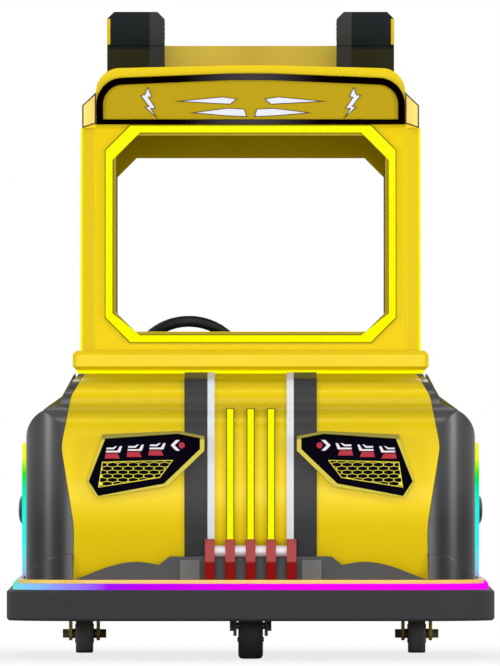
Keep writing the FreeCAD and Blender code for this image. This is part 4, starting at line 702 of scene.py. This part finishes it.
def edging(name, corners, face, width, depth, leaning=False):
    """A thin frame of even width that follows the inside of an outline."""
    piece = cut_out(name, corners, face, 0, leaning)
    alone(piece)
    bpy.ops.object.mode_set(mode="EDIT")
    bpy.ops.mesh.select_mode(type="FACE")
    bpy.ops.mesh.select_all(action="SELECT")
    bpy.ops.mesh.inset(thickness=width, use_even_offset=True)
    bpy.ops.mesh.delete(type="FACE")
    bpy.ops.object.mode_set(mode="OBJECT")
    thicken(piece, depth)
    return piece


def eight_sided(half, low, high, chamfer):
    """The corners of an upright rectangle with its corners cut off."""
    right = [(half - chamfer, low), (half, low + chamfer), (half, high - chamfer),
             (half - chamfer, high)]
    return right + [(-x, z) for x, z in reversed(right)]


joint_dark = finish("joint_dark", shade(112, 100, 2), 0.5, level=0.1)
lip_gold = finish("lip_gold", shade(154, 134, 24), 0.4, level=0.2)
joints = [edging("joint", eight_sided(*outline), cab_front - 0.003, 0.003, 0.004, True)
          for outline in ((0.3298, 0.7132, 1.2068, 0.0565), (0.3135, 0.7295, 1.1905, 0.0503))]
settle(join("window_joints", joints), "car_body", joint_dark)
settle(edging("window_lip", eight_sided(0.3107, 0.7323, 1.1877, 0.0488), cab_front - 0.004,
              0.0055, 0.006, True), "car_body", lip_gold)

# The corner blocks: a pale moulded cap on the end of each top rail of the cab front,
# clipped on over a dark joint that shows as a thin line round it.
corner_dark = finish("corner_dark", shade(58, 48, 20), 0.4, level=0.2)
corner_pale = finish("corner_pale", shade(250, 214, 104), 0.35, level=0.25)
for side, sign, _ in sides:
    corners = [(sign * x, z) for x, z in ((0.3500, 1.2100), (0.3812, 1.1995), (0.3812, 1.2510),
                                          (0.3500, 1.2808))]
    if sign < 0:
        corners.reverse()
    settle(edging(f"corner_joint_{side}", corners, -0.3893, 0.0028, 0.0022), "car_body",
           corner_dark)
    settle(cut_out(f"corner_cap_{side}", [(x - sign * 0.0003, z) for x, z in corners], -0.3885,
                   0.0018), "car_body", corner_pale)

# The header over the window: a golden panel in a black arched surround, with silver darts
# and zigzags cut from film, each in a dark outline.
def middle_painted_highlight(tree, place):
    """Near black, with a painted highlight that turns it paler towards the middle of the arch.
    """
    near = between(tree, off_middle(tree, place), 0.0, 0.17, 1.0, 0.0,
                   interpolation_type="SMOOTHSTEP")
    return mixed(tree, near, shade(5, 1, 0), shade(60, 55, 56))


header_gold = finish("header_gold", shade(176, 149, 14), 0.5, level=0.06)
header_black = finish("header_black", middle_painted_highlight, 0.4, level=0.0)
film_silver = finish("film_silver", shade(216, 216, 228), 0.4, level=0.2, amount=0.05)
film_edge = finish("film_edge", shade(58, 46, 40), 0.5, level=0.1)
dress(header_gold, "header_panel")
dress(header_black, "header_frame")
film_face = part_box("header_panel")[0][1]
zigzag = ((0.2330, 1.2930), (0.2230, 1.2700), (0.2310, 1.2690), (0.2140, 1.2440),
          (0.2250, 1.2430), (0.2100, 1.2210), (0.2400, 1.2470), (0.2310, 1.2490),
          (0.2500, 1.2740), (0.2400, 1.2750))
upper_dart = ((0.0300, 1.2660), (0.0640, 1.2705), (0.1720, 1.2600), (0.0740, 1.2545),
              (0.0460, 1.2530))
lower_dart = ((0.0140, 1.2430), (0.0520, 1.2450), (0.1380, 1.2340), (0.0560, 1.2270),
              (0.0080, 1.2250))
edges, films = [], []
for sign in (1, -1):
    for outline in (zigzag, upper_dart, lower_dart):
        corners = [(sign * x, z) for x, z in outline]
        films.append(cut_out("film", corners, film_face - 0.0014, 0.0012))
        edges.append(edging("film edge", corners, film_face - 0.0018, 0.0014, 0.0016))
settle(join("header_films", films), "car_body", film_silver)
settle(join("header_film_edges", edges), "car_body", film_edge)

# The roof boxes: two dark boxes with a paler inner corner and a seam across the front.
# Each has a yellow trim glued on its outer side and a shallow vent on its inner side.
seam_level, inner_corner = 1.385, (0.229, 0.2325)


def pod_faces(tree, place):
    """Dark above the seam, brownish below it, and paler on the inner corner."""
    inward = between(tree, off_middle(tree, place), *inner_corner, 1.0, 0.0)
    tone = split_at_level(shade(14, 20, 24), shade(40, 39, 18), seam_level)(tree, place)
    return mixed(tree, inward, tone, shade(54, 54, 54))


pod_dark = finish("pod_dark", pod_faces, 0.3, level=0.1, amount=0.05, rounding=0.003)
dress(pod_dark, "roof_pods")
trim_across, vent_across = (0.3208, 0.3284), (0.1962, 0.1985)
for side, sign, _ in sides:
    inner, outer = sorted(sign * across for across in trim_across)
    settle(block(f"pod_trim_{side}", (inner, 0.1492, 1.395), (outer, 0.4308, 1.4545), 0.001),
           "car_body", body_yellow)
    inner, outer = sorted(sign * across for across in vent_across)
    slats = [block("slat", (inner, 0.22, level), (outer, 0.36, level + 0.005), 0.0008, 1)
             for level in (1.408 + 0.011 * count for count in range(4))]
    settle(join(f"pod_vent_{side}", slats), "car_body", pod_dark)

# The dashboard: a dark moulded panel across the cab with lit push buttons, a loudspeaker
# behind a barred grille and a socket for the starting key.
black_plastic = finish("black_plastic", shade(34, 34, 36), 0.45, level=0.3, grain_depth=0.00012)
dress(black_plastic, "seat_base", "dashboard", "steering_column")
dash_low, dash_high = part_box("dashboard")
dash_face, panel_face = dash_high[1], dash_high[1] + 0.004
settle(block("dash_panel", (-0.32, dash_face - 0.002, dash_low[2] + 0.008),
             (0.32, panel_face, dash_high[2] - 0.008), 0.002), "car_body",
       grey_plastic)
chrome = finish("chrome", shade(214, 214, 216), 0.14, metal=1.0, amount=0.05)
buttons = (("green", 0.03, shade(40, 200, 70)), ("blue", 0.09, shade(40, 110, 235)),
           ("red", 0.15, shade(225, 40, 36)), ("amber", 0.21, shade(250, 170, 30)))
for label, across, tint in buttons:
    centre = (across, panel_face, (dash_low[2] + dash_high[2]) / 2)
    collar = turned("button_collar_" + label, ((-0.002, 0.0125), (0.003, 0.0125),
                                               (0.0045, 0.0165), (0.0035, 0.0185),
                                               (-0.002, 0.0190)), centre, "Y", 32)
    settle(collar, "car_body", chrome, 35)
    lit = glow("button_glow_" + label, "Z", 0.5, 0.7, ((0.0, tint), (1.0, tint)), 0.7, 0.4)
    cap = turned("button_" + label, ((-0.001, 0.0), (-0.001, 0.012), (0.006, 0.0118),
                                     (0.0082, 0.0095), (0.0090, 0.0)), centre, "Y", 32)
    settle(cap, "car_body", lit, 35)
socket_level, grille_across, grille_radius = 0.596, -0.235, 0.027
grille = [turned("grille", ((-0.001, 0.034), (0.003, 0.034), (0.0045, 0.0305),
                            (0.003, grille_radius), (-0.001, grille_radius)),
                 (grille_across, panel_face, socket_level), "Y", 40)]
for count in range(6):
    level = socket_level - 0.020 + 0.008 * count
    half = math.sqrt(grille_radius ** 2 - (level - socket_level) ** 2)
    grille.append(block("bar", (grille_across - half, dash_face + 0.003, level - 0.0014),
                        (grille_across + half, dash_face + 0.0065, level + 0.0014), 0.0006, 1))
settle(join("speaker_grille", grille), "car_body", black_plastic, 35)
settle(turned("key_socket", ((-0.001, 0.0), (-0.001, 0.013), (0.003, 0.013), (0.0045, 0.011),
                             (0.0045, 0.005), (0.0020, 0.004), (0.0020, 0.0)),
              (-0.025, panel_face, socket_level), "Y", 32), "car_body", chrome,
       35)

# The steering wheel: a padded rim on three spokes, with finger grips at the sides and a
# domed cap over the nut. It turns with the front fork.
wheel_centre, wheel_turn = Vector((-0.140, -0.205, 0.653)), math.radians(-64)
rim_radius, grip_reach = 0.1215, math.radians(34)
rim_black = finish("rim_black", shade(20, 18, 24), 0.42, level=0.2, grain_size=1100.0,
                   grain_depth=0.00012)
dress(rim_black, "steering_wheel")


def on_wheel(piece):
    """Tilts a piece made flat round the middle and puts it on the steering column."""
    alone(piece)
    piece.rotation_euler = (wheel_turn, 0, 0)
    piece.location = wheel_centre
    work_in()
    return piece


bpy.ops.object.select_all(action="DESELECT")
bpy.ops.mesh.primitive_torus_add(major_radius=rim_radius, minor_radius=0.0128,
                                 major_segments=120, minor_segments=20)
rim = bpy.context.object
for corner in rim.data.vertices:
    angle = abs(math.atan2(corner.co.y, abs(corner.co.x)))
    along = corner.co.xy.normalized() * rim_radius
    centre = Vector((along.x, along.y, 0))
    if angle < grip_reach:
        swell = 1.05 + 0.05 * abs(math.sin(angle * 9))
        corner.co = centre + (corner.co - centre) * swell
spokes = [on_wheel(rim)]
for angle in (0, 180, 90):
    spoke = block("spoke", (0.02, -0.014, -0.004), (0.116, 0.014, 0.004), 0.003)
    for corner in spoke.data.vertices:
        corner.co.y *= 1.35 - 5.5 * corner.co.x
    alone(spoke)
    spoke.rotation_euler = (0, 0, math.radians(angle))
    work_in()
    spokes.append(on_wheel(spoke))
spokes.append(on_wheel(turned("boss", ((-0.013, 0.0), (-0.013, 0.026), (-0.008, 0.034),
                                       (0.005, 0.034), (0.010, 0.029), (0.010, 0.0)),
                              (0, 0, 0), "Z", 40)))
wheel = settle(join("steering_wheel_rim", spokes), "hand_wheel", rim_black, 40)
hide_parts("steering_wheel")
# The horn cap takes the clamps' finish, so it shows their paler red of painted sheen.
settle(on_wheel(turned("horn_cap", ((0.009, 0.0), (0.009, 0.025), (0.0135, 0.0245),
                                    (0.0175, 0.018), (0.0190, 0.008), (0.0190, 0.0)),
                       (0, 0, 0), "Z", 40)), "hand_wheel", clamp_red, 40)

# The floor: a ribbed mat over the deck and a treaded drive pedal on a bent steel arm.
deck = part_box("base_plate")[1][2]
settle(ribbed("floor_mat", (-0.355, -0.60, deck + 0.0003), (0.355, 0.045, deck + 0.0065),
              0.0025, 0.016), "car_body", mat_rubber, 30)
plate = [block("plate", (-0.135, -0.050, -0.004), (-0.065, 0.050, 0.004), 0.003)]
for count in range(6):
    along = -0.042 + 0.015 * count
    plate.append(block("rib", (-0.131, along, 0.0035), (-0.069, along + 0.007, 0.0065),
                       0.001, 1))
pedal = join("drive_pedal", plate)
alone(pedal)
pedal.rotation_euler = (math.radians(-38), 0, 0)
pedal.location = (0, -0.485, deck + 0.062)
settle(pedal, "car_body", mat_rubber, 35)
arm = [block("foot", (-0.125, -0.50, deck + 0.0060), (-0.075, -0.43, deck + 0.0110), 0.002),
       block("arm", (-0.110, -0.50, deck + 0.0080), (-0.090, -0.488, deck + 0.062), 0.002)]
settle(join("pedal_arm", arm), "car_body", zinc_steel, 35)

# The seat: two foam pads covered in black leathercloth on a plywood box. Each pad is
# stuffed full, sewn through between the two places and piped round its edge.
seat_leather = finish("seat_leather", shade(38, 37, 40), 0.46, level=0.4, grain_size=420.0,
                      grain_depth=0.00035, worn_tint=shade(66, 64, 64), wear=3.0)
piping_red = finish("piping_red", shade(150, 16, 20), 0.45, level=0.3, grain_size=900.0,
                    grain_depth=0.0001)


def blow_up(pad, swell):
    """Lets the cover stretch under the pressure of its stuffing, by at most a swell."""
    start = [corner.co.copy() for corner in pad.data.vertices]
    bpy.ops.object.modifier_add(type="CLOTH")
    cloth = pad.modifiers[-1]
    cloth.settings.use_pressure = True
    cloth.settings.uniform_pressure_force = 4.0
    cloth.settings.effector_weights.gravity = 0.0
    cloth.settings.quality = 4
    cloth.collision_settings.use_collision = False
    for moment in range(1, 21):
        bpy.context.scene.frame_set(moment)
    blown = pad.evaluated_get(bpy.context.evaluated_depsgraph_get()).data
    ends = [corner.co.copy() for corner in blown.vertices]
    bpy.ops.object.modifier_remove(modifier=cloth.name)
    bpy.context.scene.frame_set(1)
    for corner, first, last in zip(pad.data.vertices, start, ends):
        move = last - first
        if move.length > swell:
            move = move.normalized() * swell
        corner.co = first + move


def dent(distance, depth, half_width):
    """How deep a seam pulls the cover in at a distance from it."""
    return depth * math.exp(-(distance / half_width) ** 2)


def stuffed(name, node, face, swell=0.024):
    """A cushion of stretched leathercloth, blown up from its block of foam. face is the
    side that is sat on or leaned against."""
    low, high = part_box(node)
    centre = (Vector(low) + Vector(high)) / 2
    half = (Vector(high) - Vector(low)) / 2
    pad = bpy.data.objects.new(name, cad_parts[node].data.copy())
    bpy.context.scene.collection.objects.link(pad)
    alone(pad)
    edit_all()
    bpy.ops.mesh.remove_doubles(threshold=0.00001)
    bpy.ops.object.mode_set(mode="OBJECT")
    cover, crown_height, crown_drop, stitch_across = 0.012, 0.016, 0.008, 0.165
    side_slack, back_slack, crown_limit = 0.0005, 0.0003, 0.008
    for corner in pad.data.vertices:
        inset = [(part - cover) / part for part in half]
        corner.co = centre + Vector([(c - m) * i for c, m, i in zip(corner.co, centre, inset)])
    modify(pad, "REMESH", mode="VOXEL", voxel_size=0.0065)
    blow_up(pad, swell)
    across, back = (2, 1) if face == "Z" else (1, 2)
    top = high[2] if face == "Z" else low[1]
    outward = 1 if face == "Z" else -1
    for corner in pad.data.vertices:
        co = corner.co
        edge_x = 1 - ((co.x - centre.x) / half.x) ** 2
        edge_b = 1 - ((co[back] - centre[back]) / half[back]) ** 2
        facing = (co[across] - centre[across]) * outward / half[across]
        if facing > 0:
            crown = crown_height * max(edge_x, 0) ** 0.5 * max(edge_b, 0) ** 0.5 - crown_drop
            seam = dent(co.x - centre.x, 0.011, 0.007)
            seam += dent(abs(co.x - centre.x) - stitch_across, 0.006, 0.006)
            co[across] += outward * facing * (crown - seam)
        co.x = min(max(co.x, low[0] + side_slack), high[0] - side_slack)
        co[back] = min(max(co[back], low[back] + side_slack), high[back] - side_slack)
        if face == "Z":
            co.z = min(max(co.z, low[2] + back_slack), top + crown_limit)
        else:
            co.y = max(min(co.y, high[1] - back_slack), top - crown_limit)
    modify(pad, "SUBSURF", levels=1, render_levels=1)
    return pad


def piping(name, pad, node, face, drop=0.014):
    """A thin sewn cord that follows the pad a little below the edge of its face."""
    low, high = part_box(node)
    bpy.ops.object.select_all(action="DESELECT")
    if face == "Z":
        place, size = (0, (low[1] + high[1]) / 2, high[2] - drop), (high[0], high[1] - low[1])
        bpy.ops.mesh.primitive_plane_add(size=1, location=place)
    else:
        place, size = (0, low[1] + drop, (low[2] + high[2]) / 2), (high[0], high[2] - low[2])
        bpy.ops.mesh.primitive_plane_add(size=1, location=place, rotation=(math.pi / 2, 0, 0))
    loop = bpy.context.object
    loop.scale = (size[0] * 2 + 0.02, size[1] + 0.02, 1)
    work_in()
    edit_all()
    bpy.ops.mesh.bevel(offset=0.04, segments=6, affect="VERTICES")
    bpy.ops.mesh.select_all(action="SELECT")
    bpy.ops.mesh.delete(type="ONLY_FACE")
    bpy.ops.mesh.select_all(action="SELECT")
    bpy.ops.mesh.subdivide(number_cuts=11)
    bpy.ops.object.mode_set(mode="OBJECT")
    modify(loop, "SHRINKWRAP", target=pad, wrap_method="NEAREST_SURFACEPOINT", offset=0.0008)
    bpy.ops.object.convert(target="CURVE")
    cord = bpy.context.object
    cord.data.bevel_depth, cord.data.bevel_resolution = 0.0034, 2
    bpy.ops.object.convert(target="MESH")
    cord = bpy.context.object
    cord.name = name
    return cord


for name, node, face in (("seat_pad", "seat_cushion", "Z"), ("back_pad", "seat_backrest", "Y")):
    pad = stuffed(name, node, face)
    settle(pad, "car_body", seat_leather, 60)
    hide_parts(node)
    settle(piping(f"{name}_piping", pad, node, face), "car_body", piping_red, 60)

# The dummy wheels on the fenders: a dished black face with five spokes, a domed cap and
# five wheel nuts, in a ring of light that runs through the rainbow from top to bottom.
disc_black = finish("disc_black", shade(22, 22, 24), 0.3, level=0.4, amount=0.1)
dress(disc_black, "side_discs")
ring_glow = glow("ring_glow", "Z", 0.18, 0.49, (
    (0.0, shade(158, 150, 228)), (0.08, shade(120, 210, 243)), (0.25, shade(50, 243, 243)),
    (0.5, shade(40, 240, 226)), (0.64, shade(0, 240, 180)), (0.73, shade(6, 230, 90)),
    (0.765, shade(30, 232, 20)), (0.82, shade(140, 244, 10)), (0.87, shade(228, 250, 30)),
    (1.0, shade(246, 250, 40))))
dress(ring_glow, "side_ring_lights")
disc_height = 0.336
for side, sign, turn in sides:
    for end, along in (("front", -0.400), ("rear", 0.430)):
        dome = [(sign * reach, radius) for reach, radius in
                ((0.510, 0.0), (0.510, 0.034), (0.516, 0.0335), (0.5205, 0.029),
                 (0.5232, 0.0215), (0.5245, 0.012), (0.5250, 0.0))]
        settle(turned(f"disc_cap_{side}_{end}", dome, (0, along, disc_height), "X", 40),
               "car_body", disc_black, 40)
        screws(f"disc_nuts_{side}_{end}",
               ring((sign * 0.5118, along, disc_height), 0.072, 5, first=36), turn, 0.0075,
               0.005, chrome)

# The tail: a red lamp in a dark housing on either side, a louvred vent for the batteries
# between them and a round flap over the charging socket.
tail_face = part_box("tail_body")[1][1]
lens_red = finish("lens_red", shade(176, 14, 16), 0.18, level=0.5, coat=0.6, amount=0.15,
                  patch=40.0)
lamp_across, lamp_low, lamp_high, lamp_rim = (0.190, 0.330), 0.420, 0.500, 0.008
for side, sign, _ in sides:
    inner, outer = sorted(sign * across for across in lamp_across)
    housing = block(f"tail_lamp_housing_{side}", (inner, tail_face - 0.002, lamp_low),
                    (outer, tail_face + 0.008, lamp_high), 0.004)
    settle(housing, "car_body", black_plastic, 35)
    lens = block(f"tail_lamp_{side}", (inner + lamp_rim, tail_face + 0.004, lamp_low + lamp_rim),
                 (outer - lamp_rim, tail_face + 0.015, lamp_high - lamp_rim), 0.006, 3)
    settle(lens, "car_body", lens_red, 50)
slats = [block("plate", (-0.115, tail_face - 0.002, 0.245), (0.115, tail_face + 0.003, 0.345),
               0.002)]
for count in range(6):
    level = 0.255 + 0.0145 * count
    slats.append(block("slat", (-0.100, tail_face + 0.001, level),
                       (0.100, tail_face + 0.008, level + 0.006), 0.0015, 1))
settle(join("battery_vent", slats), "car_body", black_plastic, 35)
screws("vent_screws", [(x, tail_face + 0.0035, z) for x in (-0.107, 0.107)
                       for z in (0.253, 0.337)], "Y", 0.004, 0.002, bolt_zinc)
settle(turned("charging_flap", ((-0.001, 0.0), (-0.001, 0.034), (0.004, 0.034), (0.006, 0.031),
                                (0.006, 0.026), (0.009, 0.024), (0.010, 0.0)),
              (0.26, tail_face, 0.300), "Y", 40), "car_body", black_plastic, 35)
